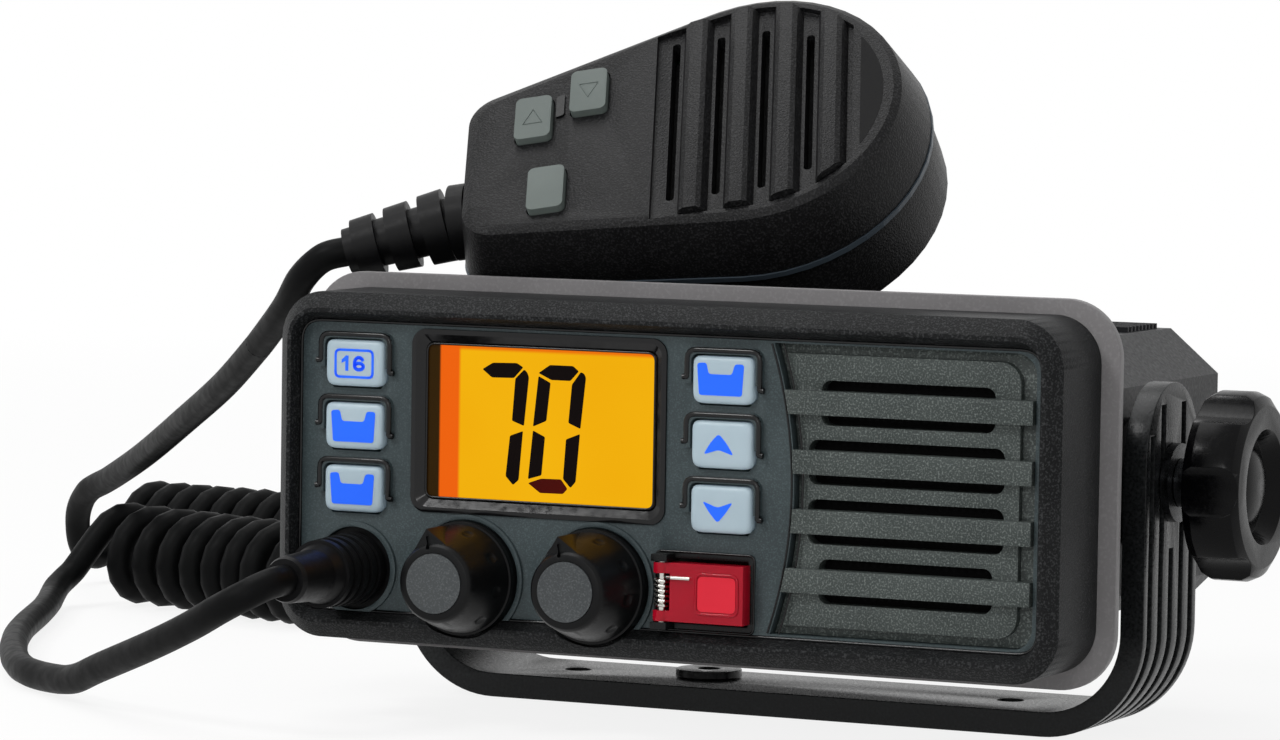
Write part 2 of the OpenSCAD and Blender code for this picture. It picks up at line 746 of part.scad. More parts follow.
module clamp_washers() color("silver") at_pivot()
    for (x = [-1, 1]) mirror([x < 0 ? 1 : 0, 0, 0])
        turned_x(bracket_w/2 + 0.15) band(stud_r + 0.1, 7.5, 0, washer_t);

module clamp_knob() {
    dish = clamp_t - 3.4;
    difference() {
        turned_x(clamp_x) {
            difference() {
                polygon([[0, 0], [clamp_r - 3, 0], [clamp_r - 1, 0.8], [clamp_r, 2.6],
                    [clamp_r, clamp_t - 2.8], [clamp_r - 0.8, clamp_t - 1], [clamp_r - 2.6, clamp_t],
                    [clamp_r - 7, clamp_t], [clamp_r - 8.6, dish], [0, dish]]);
                band(-1, stud_r + 0.02, -1, clamp_t - 5.9);
            }
            // dome in the middle of the dish
            polygon([[0, dish - 1], for (a = [0:15:90]) [7.6*cos(a), dish + 2.4*sin(a)]]);
        }
        // scallops between the lobes
        for (a = [0:60:300]) rotate([a + 30, 0, 0]) translate([clamp_x - 1, 0, clamp_r + 4.6])
            rotate([0, 90, 0]) cylinder(clamp_t + 2, 7, 7);
    }
}

module clamp_stud() {
    start = body_w/2 - insert_len + 0.6;
    turned_x(0) {
        band(0, stud_r, start, clamp_x + clamp_t - 6);
        band(0, 4.6, bracket_w/2 + washer_t + 0.3, clamp_x);
    }
}

module clamp_knob_right() color("#0d0d0f") at_pivot() clamp_knob();
module clamp_stud_right() color("silver") at_pivot() clamp_stud();
module clamp_knob_left() color("#0d0d0f") at_pivot() mirror([1, 0, 0]) clamp_knob();
module clamp_stud_left() color("silver") at_pivot() mirror([1, 0, 0]) clamp_stud();

// ---- microphone: X towards its round end, Y across it, Z out of its face ----

// Round end, tangent sides and a cord end with round corners, off the axis by the lean.
module mic_plan(r, reach, neck, corner = 7) {
    up = mic_side(r, reach, neck - mic_lean, neck, corner);
    low = mic_side(r, reach, neck + mic_lean, neck, corner);
    circle(r);
    for (c = [up[3], [low[3][0], -low[3][1]]]) translate(c) circle(corner);
    polygon([up[0], up[1], up[2], [low[2][0], -low[2][1]], [low[1][0], -low[1][1]],
        [low[0][0], -low[0][1]]]);
}

// One long side: where it leaves the round end, meets the corner and ends, and the corner's centre.
function mic_side(r, reach, edge, neck, corner) =
    let (c = [-reach + corner, edge - corner],
        a = atan2(c[1], c[0]) - acos((r - corner)/norm(c)))
    [r*[cos(a), sin(a)], c + corner*[cos(a), sin(a)], [-reach, c[1]], c];

// A layer of the shell's outline between heights a and b.
module mic_layer(a, b, r, reach, neck) {
    translate([0, 0, a]) linear_extrude(b - a) mic_plan(r, reach, neck);
}

module mic_key_hole(place, w, h) {
    translate([place[0], place[1], -mic_key_t]) linear_extrude(8) rounded(w, h, 1.4);
}

module mic_front_shell() color("#1a1a1c") at_mic() {
    difference() {
        hull() {
            mic_layer(-mic_front_t, -mic_front_t + 1, mic_r, mic_reach, mic_neck);
            mic_layer(-2, -1, mic_face_r + 0.8, mic_reach - 2.2, mic_neck - 1.7);
            mic_layer(-eps, 0, mic_face_r - 0.6, mic_reach - 4, mic_neck - 3.2);
        }
        translate([0, 0, -mic_front_t - eps]) hull() {
            mic_layer(0, 0.1, mic_r - mic_wall, mic_reach - mic_wall, mic_neck - mic_wall);
            mic_layer(mic_front_t - 4.6, mic_front_t - 4.5, mic_face_r - 2, mic_reach - 5, mic_neck - 4);
        }
        // sunk field of the ribs
        intersection() {
            mic_layer(-1.2, 1, mic_face_r - 1.8, mic_reach, mic_neck);
            translate([mic_step_x, -40, -1.2]) cube([39, 80, 4]);
        }
        // sound slots between the ribs
        for (i = [0:3]) translate([mic_step_x + 3.6 + i*mic_rib_pitch, 0, -8])
            linear_extrude(10) rounded(mic_slot_w, i == 3 ? 36 : 42, 0.7);
        for (p = mic_keys) {
            mic_key_hole(p, mic_key_w + 0.5, mic_key_h + 0.5);
            // pocket under it for the key's flange
            translate([p[0], p[1], -mic_key_t - 2.4]) linear_extrude(2.5)
                square([mic_key_w + 1.4, mic_key_h + 1.4], center = true);
        }
    }
    // ribs
    intersection() {
        mic_layer(-1.6, 1.6, mic_face_r - 2.2, mic_reach, mic_neck);
        for (i = [0:3]) translate([mic_step_x + 5 + i*mic_rib_pitch, 0, -1.6]) rotate([90, 0, 0])
            linear_extrude(2*mic_face_r - 4, center = true)
                polygon([[0, 0], [mic_rib_w, 0], [mic_rib_w - 1, 2.5], [mic_rib_w - 1.9, 3],
                    [1.9, 3], [1, 2.5]]);
    }
}

module mic_rear_shell() color("#161618") at_mic() difference() {
    d = mic_front_t + 1.2;
    hull() {
        mic_layer(-d - 1, -d, mic_r - 0.6, mic_reach - 0.6, mic_neck - 0.6);
        mic_layer(-28.6, -27.6, mic_r, mic_reach - 6, mic_neck - 4);
        mic_layer(mic_back, mic_back + 0.1, mic_r - 7, mic_reach - 12, mic_neck - 9);
    }
    hull() {
        mic_layer(-d - 1, -d + 1, mic_r - 3, mic_reach - 3, mic_neck - 3);
        mic_layer(mic_back + 3, mic_back + 3.1, mic_r - 10, mic_reach - 15, mic_neck - 12);
    }
    // recess for the side lever
    translate([ptt_x, mic_r - 9, -23.5]) linear_extrude(9.4) square([ptt_len + 0.8, 30], center = true);
}

// The side lever bows out of the shell's long side and swings about its cord end.
module mic_ptt() color("#1c1c1e") at_mic()
    translate([0, 0, -23.3]) linear_extrude(9) {
        intersection() {
            translate([lever_x, mic_r - 5.6]) square([ptt_x + ptt_len/2 - lever_x, 9.4]);
            translate([ptt_x, -30.5]) circle(mic_r + 34, $fn = 160);
        }
        // knuckle about the pivot
        translate([lever_x, mic_r - 5.6 + lever_pivot_r]) circle(lever_pivot_r);
    }

module mic_seal() color("#3a4046") at_mic() difference() {
    hull() mic_layer(-mic_front_t - 1.18, -mic_front_t - 0.02, mic_r + 0.3, mic_reach + 0.3, mic_neck + 0.3);
    hull() mic_layer(-mic_front_t - 3, -mic_front_t + 3, mic_r - 3, mic_reach - 3, mic_neck - 3);
}

module mic_key(i) color("#6f7876") at_mic() translate([mic_keys[i][0], mic_keys[i][1], 0]) {
    translate([0, 0, -mic_key_t]) linear_extrude(mic_key_t + 1.5) rounded(mic_key_w, mic_key_h, 1.3);
    translate([0, 0, -mic_key_t - 0.9]) linear_extrude(0.9) square([mic_key_w + 0.9, mic_key_h + 0.9], center = true);
}

module mic_key_up() mic_key(0);
module mic_key_down() mic_key(1);
module mic_key_power() mic_key(2);

module mic_board() color("#1f6b3a") at_mic()
    mic_layer(-9.4, -7.9, mic_face_r - 0.7, mic_reach - 4.2, mic_neck - 3.5);

module mic_capsule() color("#9a9a9a") at_mic()
    translate([-2, 0, -7.7]) cylinder(2.6, 5, 5);

module mic_screws() color("silver") at_mic()
    for (p = [[-36, -4], [14, 12], [14, -12]])
        translate([p[0], p[1], mic_back - 0.9]) cylinder(0.9, 2.4, 2.4);

module mic_button() color("#2a2a2c") at_mic()
    translate([-8, 0, mic_back - 7]) {
        cylinder(2.4, 7, 7);
        cylinder(7, 4, 4);
    }

module mic_relief() color("#141415") at_mic() translate([-mic_reach - 0.35, -mic_lean, relief_depth]) {
    rotate([0, -90, 0]) cylinder(3.4, 7.4, 7.4);
    translate([-3.2, 0, 0]) rotate([0, -90, relief_bend]) {
        cylinder(relief_body, 5.2, mic_nose_r);
        for (i = [0:2]) translate([0, 0, 1.4 + i*7]) cylinder(4.6, 7.2 - 0.6*i, 6.9 - 0.6*i);
    }
}

// ---- cord ----

module cord_gland() color("#131314") at_panel() turned(gland_x, plate_recess, gland_z) {
    band(0, gland_ring_r + 1.4, plate_recess - plate_back - 2.8, plate_recess - plate_back - 0.05);
    band(0, gland_ring_r - 0.1, plate_recess - plate_back - 1, -0.6);
    polygon([[0, -1], [6.4, -1], [5.9, 14], [4.9, 17], [relief_nose_r + 0.4, relief_len - 1],
        [relief_nose_r, relief_len], [0, relief_len]]);
    for (i = [0:4]) band(0, 6.9 - 0.12*i, 1.2 + i*2.9, 2.8 + i*2.9);
}

// Points along the free stretches, chosen by hand. The first and last pairs run
// straight out of the strain relief or into the curls.
lead_route = [[-63.3, -90.7, 29.3], [-63.4, -96, 29.1], [-66, -100, 27.3], [-71.5, -100, 24.4],
    [-80.7, -95.5, 20], [-93.8, -87.3, 14.8], [-112.2, -74, 8.3], [-123, -65.5, 4.5],
    [-133, -57.5, 3.2], [-144, -48.5, 3], [-156, -33, 3], [-170, -10.5, 3], [-183, 14, 3],
    [-197, 45, 3], [-205.5, 62.5, 3], [-209.5, 70.5, 3.4], [-211.7, 76.2, 4.7],
    [-212.4, 80.2, 5.9], [-212, 83.8, 7.8],
    [-210.64, 86.27, 11.06]];
tail_route = [[-81.1, -34.25, 87.75], [-85.4, -35.7, 86.4], [-90.8, -34.3, 82.2], [-98, -27.5, 75.8],
    [-111.1, -14, 67.6], [-131.3, 8, 57.4], [-157.7, 38, 46.9], [-189.3, 76, 35.6],
    [-213.6, 102.7, 27.2], [-225, 112.2, 23], [-231, 118, 17.6], [-233.2, 121.8, 11.7],
    [-233.4, 125, 7.6], [-233, 129.9, 6], [-232, 134.7, 7.6], [-231.05, 137.84, 11.02]];
route_steps = 2;

function unit(v) = v/norm(v);
function smooth(p0, p1, p2, p3, t) =
    0.5*(2*p1 + (p2 - p0)*t + (2*p0 - 5*p1 + 4*p2 - p3)*t*t + (3*p1 - 3*p2 + p3 - p0)*t*t*t);
function route(p) = let (n = len(p))
    [for (i = [0:n - 2], k = [0:(i == n - 2 ? route_steps : route_steps - 1)])
        smooth(p[max(i - 1, 0)], p[i], p[i + 1], p[min(i + 2, n - 1)], k/route_steps)];
function heading(p, i) = let (n = len(p))
    unit(i == 0 ? p[1] - p[0] : i == n - 1 ? p[n - 1] - p[n - 2] : p[i + 1] - p[i - 1]);
function across(v, t) = unit(v - (v*t)*t);

// A round tube swept along points, its rings turned as little as they can be.
function sides_of(p, i, v) = i == len(p) ? [] :
    let (w = across(v, heading(p, i))) concat([w], sides_of(p, i + 1, w));
module tube(p, r, sides) {
    n = len(p);
    side = sides_of(p, 0, [0.3, 0.2, 1]);
    ring_points = [for (i = [0:n - 1]) let (t = heading(p, i), b = cross(t, side[i]))
        for (k = [0:sides - 1]) p[i] + r*(cos(360*k/sides)*side[i] + sin(360*k/sides)*b)];
    polyhedron(
        points = concat(ring_points, [p[0], p[n - 1]]),
        faces = concat(
            [for (i = [0:n - 2], k = [0:sides - 1]) let (m = (k + 1)%sides)
                [i*sides + k, (i + 1)*sides + k, i*sides + m]],
            [for (i = [0:n - 2], k = [0:sides - 1]) let (m = (k + 1)%sides)
                [i*sides + m, (i + 1)*sides + k, (i + 1)*sides + m]],
            [for (k = [0:sides - 1]) [n*sides, k, (k + 1)%sides]],
            [for (k = [0:sides - 1]) [n*sides + 1, (n - 1)*sides + (k + 1)%sides, (n - 1)*sides + k]]));
}

// The line that the curls wind round: forward, round a bend, and back.
function level(a) = [cos(a), sin(a), 0];
function coil_turned(u) = coil_heading
    + min(max(u - front_curls, 0), bend_curls)*bend_pitch/bend_r*180/PI;
function coil_line(u) = let (
        a = coil_turned(u),
        corner = [coil_start[0], coil_start[1], cord_rise] + front_reached(u)*level(coil_heading),
        centre = corner + bend_r*level(coil_heading + 90))
    centre - bend_r*level(a + 90) + max(u - front_curls - bend_curls, 0)*curl_pitch*level(a);
function front_reached(u) = min(u, front_curls)*curl_pitch
    + loose_reach*(1 - pow(1 - min(u, loose_curls)/loose_curls, 2));
curl_lead_in = 30;   // the curls start and end this far past the level of their line
function curl_point(u) = let (a = coil_turned(u), turn = curl_lead_in + 360*u + end_turn*u/curls)
    coil_line(u) + curl_r*(cos(turn)*level(a - 90) + [0, 0, sin(turn)]);
end_turn = 150 - curl_lead_in - 360*(curls - floor(curls));
curl_path = [for (i = [0:curls*curl_rings]) curl_point(i/curl_rings)];
curl_in = unit(curl_path[0] - curl_point(0.04));
curl_out = unit(curl_path[len(curl_path) - 1] - curl_point(curls - 0.04));
coil_path = concat([curl_path[0] + cord_d*curl_in], curl_path,
    [curl_path[len(curl_path) - 1] + cord_d*curl_out]);
least_gap = min([for (i = [0:len(coil_path) - 5], j = [i + 4:min(i + 13, len(coil_path) - 1)])
    norm(coil_path[i] - coil_path[j])]) - cord_d;
echo(least_gap = least_gap, coil_in = coil_path[0], coil_out = coil_path[len(coil_path) - 1], curl_in, curl_out);

module cord_lead() color("#141416") tube(route(lead_route), cord_d/2, tube_sides);
module cord_tail() color("#141416") tube(route(tail_route), cord_d/2, tube_sides);
module cord_coil() color("#141416") tube(coil_path, cord_d/2, curl_sides);

front_panel();
face_plate();
speaker_grille();
speaker_mesh();
speaker();
gasket();
display_surround();
display_lens();
lcd_panel();
lcd_backlight();
key_16();
key_channel();
key_call();
key_scan();
key_up();
key_down();
squelch_knob();
squelch_cap();
squelch_shaft();
squelch_pot();
volume_knob();
volume_cap();
volume_shaft();
volume_pot();
distress_tray();
distress_cover();
distress_pin();
distress_spring();
distress_button();
chassis();
panel_board();
main_board();
antenna_socket();
power_gland();
panel_screws();
thread_inserts();
friction_pads();
bracket();
clamp_washers();
clamp_knob_left();
clamp_stud_left();
clamp_knob_right();
clamp_stud_right();
mic_front_shell();
mic_rear_shell();
mic_seal();
mic_ptt();
mic_key_up();
mic_key_down();
mic_key_power();
mic_capsule();
mic_board();
mic_screws();
mic_button();
mic_relief();
cord_gland();
cord_lead();
cord_coil();
cord_tail();
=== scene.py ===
"""A fixed marine radio in its bracket, with its hand microphone on top and its curly cord beside it."""

import math

import bmesh
import bpy
import numpy as np
from mathutils import Euler, Matrix, Vector


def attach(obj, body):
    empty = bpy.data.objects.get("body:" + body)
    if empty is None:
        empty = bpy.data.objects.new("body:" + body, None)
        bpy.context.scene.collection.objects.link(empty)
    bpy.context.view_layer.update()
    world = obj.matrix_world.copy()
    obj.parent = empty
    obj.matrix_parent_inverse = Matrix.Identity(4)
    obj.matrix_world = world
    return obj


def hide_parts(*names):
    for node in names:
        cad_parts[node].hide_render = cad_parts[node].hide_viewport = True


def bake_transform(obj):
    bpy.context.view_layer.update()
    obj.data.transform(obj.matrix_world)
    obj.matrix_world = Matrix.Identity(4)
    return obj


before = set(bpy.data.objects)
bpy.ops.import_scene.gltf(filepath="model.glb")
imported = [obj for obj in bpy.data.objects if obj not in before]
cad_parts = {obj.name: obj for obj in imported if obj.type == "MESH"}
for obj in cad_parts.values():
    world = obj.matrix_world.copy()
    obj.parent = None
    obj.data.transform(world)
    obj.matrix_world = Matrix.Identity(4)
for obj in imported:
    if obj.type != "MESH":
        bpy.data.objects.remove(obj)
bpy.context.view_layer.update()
MM = 0.001

# ---- camera: low, and round to the radio's right ----

CAMERA_PLACE = Vector((0.43770, -1.01089, 0.13825))
CAMERA_TARGET = Vector((-0.00294, -0.0655, 0.06956))
CAMERA_ROLL = math.radians(0.892)
LENS_MM, SENSOR_MM = 159.55, 36

lens_data = bpy.data.cameras.new("camera")
lens_data.sensor_width = SENSOR_MM
lens_data.lens = LENS_MM
lens_data.clip_start = 0.05
camera = bpy.data.objects.new("camera", lens_data)
looking = (CAMERA_TARGET - CAMERA_PLACE).to_track_quat("-Z", "Y").to_matrix().to_4x4()
camera.matrix_world = Matrix.Translation(CAMERA_PLACE) @ looking @ Matrix.Rotation(CAMERA_ROLL, 4, "Z")
bpy.context.scene.collection.objects.link(camera)
bpy.context.scene.camera = camera

# ---- colours and materials ----


def linear(code):
    """An sRGB hex value as a linear colour."""
    parts = [int(code[i : i + 2], 16) / 255 for i in (1, 3, 5)]
    return tuple(c / 12.92 if c <= 0.04045 else ((c + 0.055) / 1.055) ** 2.4 for c in parts) + (1.0,)


def add(tree, kind, values=None, **settings):
    """Adds a node: settings go by name, and a socket takes a number, a colour or another socket."""
    made = tree.nodes.new(kind)
    for name, value in settings.items():
        setattr(made, name, value)
    for name, value in (values or {}).items():
        socket = made.inputs[name]
        if isinstance(value, bpy.types.NodeSocket):
            tree.links.new(value, socket)
        else:
            socket.default_value = value
    return made


def blended(tree, factor, first, second):
    """A colour mix whose ends are hex values or sockets."""
    mixed = add(tree, "ShaderNodeMix", data_type="RGBA")
    tree.links.new(factor, mixed.inputs[0])
    for index, end in ((6, first), (7, second)):
        if isinstance(end, str):
            mixed.inputs[index].default_value = linear(end)
        else:
            tree.links.new(end, mixed.inputs[index])
    return mixed.outputs[2]


def scaled(size_mm):
    """Noise scale for a pattern whose features are this many millimetres across."""
    return 1 / (size_mm * MM)


def finish_of(name, shader_values, build=None):
    """A material with one Principled shader. build adds its pattern and returns the sockets it drives."""
    material = bpy.data.materials.new(name)
    material.use_nodes = True
    tree = material.node_tree
    tree.nodes.clear()
    values = dict(shader_values)
    if build:
        values.update(build(tree))
    shader = add(tree, "ShaderNodeBsdfPrincipled", values)
    add(tree, "ShaderNodeOutputMaterial", {"Surface": shader.outputs["BSDF"]})
    return material


GLOSS_SPREAD = 0.06  # how far the roughness wanders to either side of a finish's own


def grained(dark, light, grain_mm, depth_mm, rough, patch_mm=14, strength=0.6, painted_sparkle=0.0):
    """Pattern of a spark-eroded mould: a pebbled bump whose tops are painted paler by the last argument, a
    painted sparkle of highlights, and a faint change of tone and gloss over larger patches."""

    def build(tree):
        place = add(tree, "ShaderNodeTexCoord").outputs["Object"]
        pebble = add(tree, "ShaderNodeTexNoise", {"Vector": place, "Scale": scaled(grain_mm), "Detail": 2.0})
        patch = add(tree, "ShaderNodeTexNoise", {"Vector": place, "Scale": scaled(patch_mm), "Detail": 3.0})
        # painted highlights: the pebbles' tops made paler in colour, a sparkle as if they caught the light
        tops = add(tree, "ShaderNodeMapRange", {"Value": pebble.outputs["Fac"], "From Min": 0.5,
                                                "From Max": 0.68, "To Min": 0.0, "To Max": painted_sparkle})
        slow = add(tree, "ShaderNodeMath", {0: patch.outputs["Fac"], 1: 1 - painted_sparkle}, operation="MULTIPLY")
        level = add(tree, "ShaderNodeMath", {0: tops.outputs["Result"], 1: slow.outputs[0]}, operation="ADD")
        tone = blended(tree, level.outputs[0], dark, light)
        gloss = add(tree, "ShaderNodeMapRange", {"Value": pebble.outputs["Fac"], "From Min": 0.3,
                                                 "From Max": 0.7, "To Min": rough - GLOSS_SPREAD,
                                                 "To Max": rough + GLOSS_SPREAD})
        bump = add(tree, "ShaderNodeBump", {"Height": pebble.outputs["Fac"], "Distance": depth_mm * MM,
                                            "Strength": strength})
        return {"Base Color": tone, "Roughness": gloss.outputs["Result"], "Normal": bump.outputs["Normal"]}

    return build


# Bezel: spark-textured black ABS, pebbles of 0.4 mm with a painted sparkle on their tops; its rims catch the
# light.
bezel_abs = finish_of(
    "bezel_spark_textured_abs", {"Specular IOR Level": 0.08},
    grained("#0b0c0d", "#3a3b3c", grain_mm=0.38, depth_mm=0.14, rough=0.42, strength=1.0, painted_sparkle=0.75))
# Plate: satin blue-green charcoal paint with a fine 0.3 mm peel, smoother than the bezel round it.
# its peel's tops painted paler, a painted sparkle
plate_paint = finish_of(
    "plate_satin_paint", {"Specular IOR Level": 0.22},
    grained("#283033", "#4a5658", grain_mm=0.3, depth_mm=0.04, rough=0.4, strength=0.7, painted_sparkle=0.45))
# Grille: charcoal ABS with a green cast and a 0.4 mm spark texture.
# its pebbles' tops painted paler, a painted sparkle
grille_abs = finish_of(
    "grille_spark_textured_abs", {"Specular IOR Level": 0.2},
    grained("#2a302f", "#6d7471", grain_mm=0.36, depth_mm=0.1, rough=0.38,
            patch_mm=12, strength=1.0, painted_sparkle=0.7))
# Smooth dark ABS of trays and edges, with 0.4 mm of faint mould texture.
dark_abs = finish_of(
    "dark_smooth_abs", {"Specular IOR Level": 0.2},
    grained("#08090a", "#101112", grain_mm=0.4, depth_mm=0.01, rough=0.3))
# Beads and hoods: polished black ABS, 0.5 mm waves left by the tool.
bead_abs = finish_of(
    "bead_polished_abs", {"Specular IOR Level": 0.3},
    grained("#050506", "#0c0d0e", grain_mm=0.5, depth_mm=0.006, rough=0.2))
# Display surround: black acrylic, polished, its waves 1.5 mm across and all but flat.
surround_acrylic = finish_of(
    "surround_black_acrylic", {"Specular IOR Level": 0.3},
    grained("#040405", "#0a0a0c", grain_mm=1.5, depth_mm=0.003, rough=0.14))
# Body casting: dark grey paint over aluminium, with the 0.7 mm orange peel of a sprayed coat.
# the peel's tops painted paler, a painted sparkle
body_paint = finish_of(
    "body_sprayed_paint", {"Specular IOR Level": 0.07},
    grained("#0e0f11", "#1b1c1f", grain_mm=0.7, depth_mm=0.05, rough=0.42,
            patch_mm=16, strength=0.8, painted_sparkle=0.4))
# Bracket: moulded black ABS, glossier than the bezel, with a 0.6 mm texture that dulls its highlights.
# the texture's tops painted paler, a painted sparkle
bracket_abs = finish_of(
    "bracket_black_abs", {"Specular IOR Level": 0.18},
    grained("#090a0b", "#2c2e2f", grain_mm=0.6, depth_mm=0.06, rough=0.3,
            patch_mm=18, strength=0.8, painted_sparkle=0.5))
# Clamp knobs: half-polished black ABS with long soft highlights and 0.9 mm waves.
clamp_abs = finish_of(
    "clamp_polished_abs", {"Specular IOR Level": 0.1},
    grained("#020203", "#060607", grain_mm=0.9, depth_mm=0.006, rough=0.24))
# Knobs: satin black ABS, 0.5 mm texture.
knob_abs = finish_of(
    "knob_satin_abs", {"Specular IOR Level": 0.14},
    grained("#050506", "#0e0f10", grain_mm=0.5, depth_mm=0.012, rough=0.34))
# Knob caps: flat charcoal paint with a speckle of 0.35 mm.
# the speckle is the tops of its grain painted paler, a painted sparkle
cap_paint = finish_of(
    "knob_cap_matt_paint", {"Specular IOR Level": 0.25},
    grained("#35383a", "#565a5b", grain_mm=0.35, depth_mm=0.04, rough=0.5, painted_sparkle=0.6))
# Microphone: coarse spark texture of 0.4 mm on black ABS, its tops painted paler as a painted sparkle.
mic_abs = finish_of(
    "mic_spark_textured_abs", {"Specular IOR Level": 0.12},
    grained("#070708", "#2e2e2f", grain_mm=0.42, depth_mm=0.16, rough=0.38,
            patch_mm=16, strength=1.0, painted_sparkle=0.7))
# Smooth end and lever of the microphone: the same ABS from a smooth mould, darker, with faint 0.35 mm waves.
mic_smooth_abs = finish_of(
    "mic_smooth_abs", {"Specular IOR Level": 0.06},
    grained("#040405", "#0a0a0b", grain_mm=0.35, depth_mm=0.012, rough=0.42))
# Microphone keys: matt grey-green silicone rubber, 0.35 mm mould texture.
mic_key_rubber = finish_of(
    "mic_key_silicone", {"Specular IOR Level": 0.25},
    grained("#4f5754", "#626a67", grain_mm=0.35, depth_mm=0.01, rough=0.5))
# Gasket: grey silicone rubber, matt, with a 0.6 mm mould texture.
# the tops of its texture painted a little paler, a painted sparkle
gasket_rubber = finish_of(
    "gasket_silicone", {"Specular IOR Level": 0.25},
    grained("#6a6869", "#858384", grain_mm=0.6, depth_mm=0.03, rough=0.45, patch_mm=20, painted_sparkle=0.3))
# Microphone seal: blue-grey silicone rubber, a thin line with 0.5 mm of mould texture.
seal_rubber = finish_of(
    "mic_seal_silicone", {"Specular IOR Level": 0.3},
    grained("#333b43", "#444e57", grain_mm=0.5, depth_mm=0.01, rough=0.4))
# Pads and lead gland: nitrile rubber, dull, with a 0.7 mm texture.
pad_rubber = finish_of(
    "pad_nitrile_rubber", {"Specular IOR Level": 0.2},
    grained("#0f0f10", "#1a1a1b", grain_mm=0.7, depth_mm=0.03, rough=0.7))
# Cord: black polyurethane jacket, nearly matt, with a slow 2.4 mm waviness from extrusion.
cord_jacket = finish_of(
    "cord_polyurethane", {"Specular IOR Level": 0.05},
    grained("#070708", "#0f1010", grain_mm=2.4, depth_mm=0.01, rough=0.48, patch_mm=20, strength=0.2))
# Strain reliefs: moulded soft PVC, a little glossier than the cord, 0.8 mm waves.
relief_rubber = finish_of(
    "relief_moulded_pvc", {"Specular IOR Level": 0.12},
    grained("#070708", "#111112", grain_mm=0.8, depth_mm=0.015, rough=0.42))


def woven(tree):
    """Pattern of woven speaker cloth: threads 1.6 mm apart both ways, twice the real spacing so that they
    show. A wave's bands lie 0.31 of its size apart."""
    place = add(tree, "ShaderNodeTexCoord").outputs["Object"]
    warp, weft = [add(tree, "ShaderNodeTexWave", {"Vector": place, "Scale": scaled(5.0), "Distortion": 0.4},
                      bands_direction=way).outputs["Fac"] for way in "XZ"]
    threads = add(tree, "ShaderNodeMath", {0: warp, 1: weft}, operation="MULTIPLY").outputs[0]
    bump = add(tree, "ShaderNodeBump", {"Height": threads, "Distance": 0.1 * MM, "Strength": 0.8})
    return {"Base Color": blended(tree, threads, "#020202", "#0e0e0f"), "Normal": bump.outputs["Normal"]}


# Cloth behind the grille and the microphone's slots.
speaker_cloth = finish_of("speaker_cloth", {"Specular IOR Level": 0.1, "Roughness": 0.8}, woven)
# Turned steel: shafts and pots with a fine finish, 0.4 mm.
turned_steel = finish_of(
    "turned_steel", {"Metallic": 1.0},
    grained("#8f9396", "#b4b7b9", grain_mm=0.4, depth_mm=0.008, rough=0.3))
# Black zinc on the clamp studs and washers, cloudy over 0.8 mm.
black_zinc = finish_of(
    "black_zinc_plate", {"Metallic": 1.0},
    grained("#1c1c1e", "#343537", grain_mm=0.8, depth_mm=0.01, rough=0.26))
# Nickel plate on the antenna socket, spring and pin: brighter and smoother than the steel.
nickel_plate = finish_of(
    "nickel_plate", {"Metallic": 1.0},
    grained("#b9b8b3", "#cfcdc8", grain_mm=0.8, depth_mm=0.004, rough=0.2))
# Thread inserts: turned brass, 0.4 mm tool marks.
brass = finish_of(
    "turned_brass", {"Metallic": 1.0},
    grained("#a9863f", "#c39d52", grain_mm=0.4, depth_mm=0.006, rough=0.3))
# Circuit boards: green solder mask over glass cloth, 0.9 mm weave.
board_mask = finish_of(
    "board_solder_mask", {"Specular IOR Level": 0.5},
    grained("#0d4a25", "#155a30", grain_mm=0.9, depth_mm=0.01, rough=0.35))
# Light guide behind the display: milky polycarbonate with 2 mm clouds.
backlight_sheet = finish_of(
    "backlight_polycarbonate", {"Specular IOR Level": 0.4},
    grained("#d9d4c4", "#e6e2d6", grain_mm=2.0, depth_mm=0.01, rough=0.4))
# Keys: translucent silicone lit from behind, so it stays pale and even, with 1.2 mm clouds.
key_silicone = finish_of(
    "key_backlit_silicone", {"Specular IOR Level": 0.3, "Subsurface Weight": 0.2,
                             "Subsurface Radius": (0.002, 0.002, 0.002), "Subsurface Scale": 1.0,
                             "Emission Color": linear("#9dbdd6"), "Emission Strength": 0.06},
    grained("#97a8b1", "#abbbc3", grain_mm=1.2, depth_mm=0.02, rough=0.34))
# Printed blue on the keys: saturated enamel ink with a painted glow, and clouds of 1 mm.
key_ink = finish_of(
    "key_blue_ink", {"Specular IOR Level": 0.2, "Emission Color": linear("#2a6bf5"),
                     "Emission Strength": 0.3},
    grained("#1753dc", "#1f5fe8", grain_mm=1.0, depth_mm=0.004, rough=0.4))
# Cover: red polycarbonate, clear enough for the button to show through.
cover_red = finish_of(
    "cover_red_polycarbonate", {"Transmission Weight": 0.3, "Specular IOR Level": 0.1, "IOR": 1.45},
    grained("#a60a22", "#c0102c", grain_mm=2.0, depth_mm=0.004, rough=0.1))
# Distress button: red silicone rubber, 0.8 mm texture, a faint painted glow to show through the cover.
button_red = finish_of(
    "button_red_silicone", {"Specular IOR Level": 0.3, "Emission Color": linear("#e2182c"),
                            "Emission Strength": 0.12},
    grained("#bb1228", "#cc1a30", grain_mm=0.8, depth_mm=0.01, rough=0.4))
# Black of the liquid crystal: warm, flat print with 1 mm clouds.
crystal_black = finish_of(
    "liquid_crystal_black", {"Specular IOR Level": 0.05},
    grained("#060202", "#0d0403", grain_mm=1.0, depth_mm=0.002, rough=0.35))
# Its half-lit low segment: browner, with 3 mm clouds.
crystal_brown = finish_of(
    "liquid_crystal_brown", {"Specular IOR Level": 0.05},
    grained("#3a0603", "#4d0a04", grain_mm=3.0, depth_mm=0.002, rough=0.35))


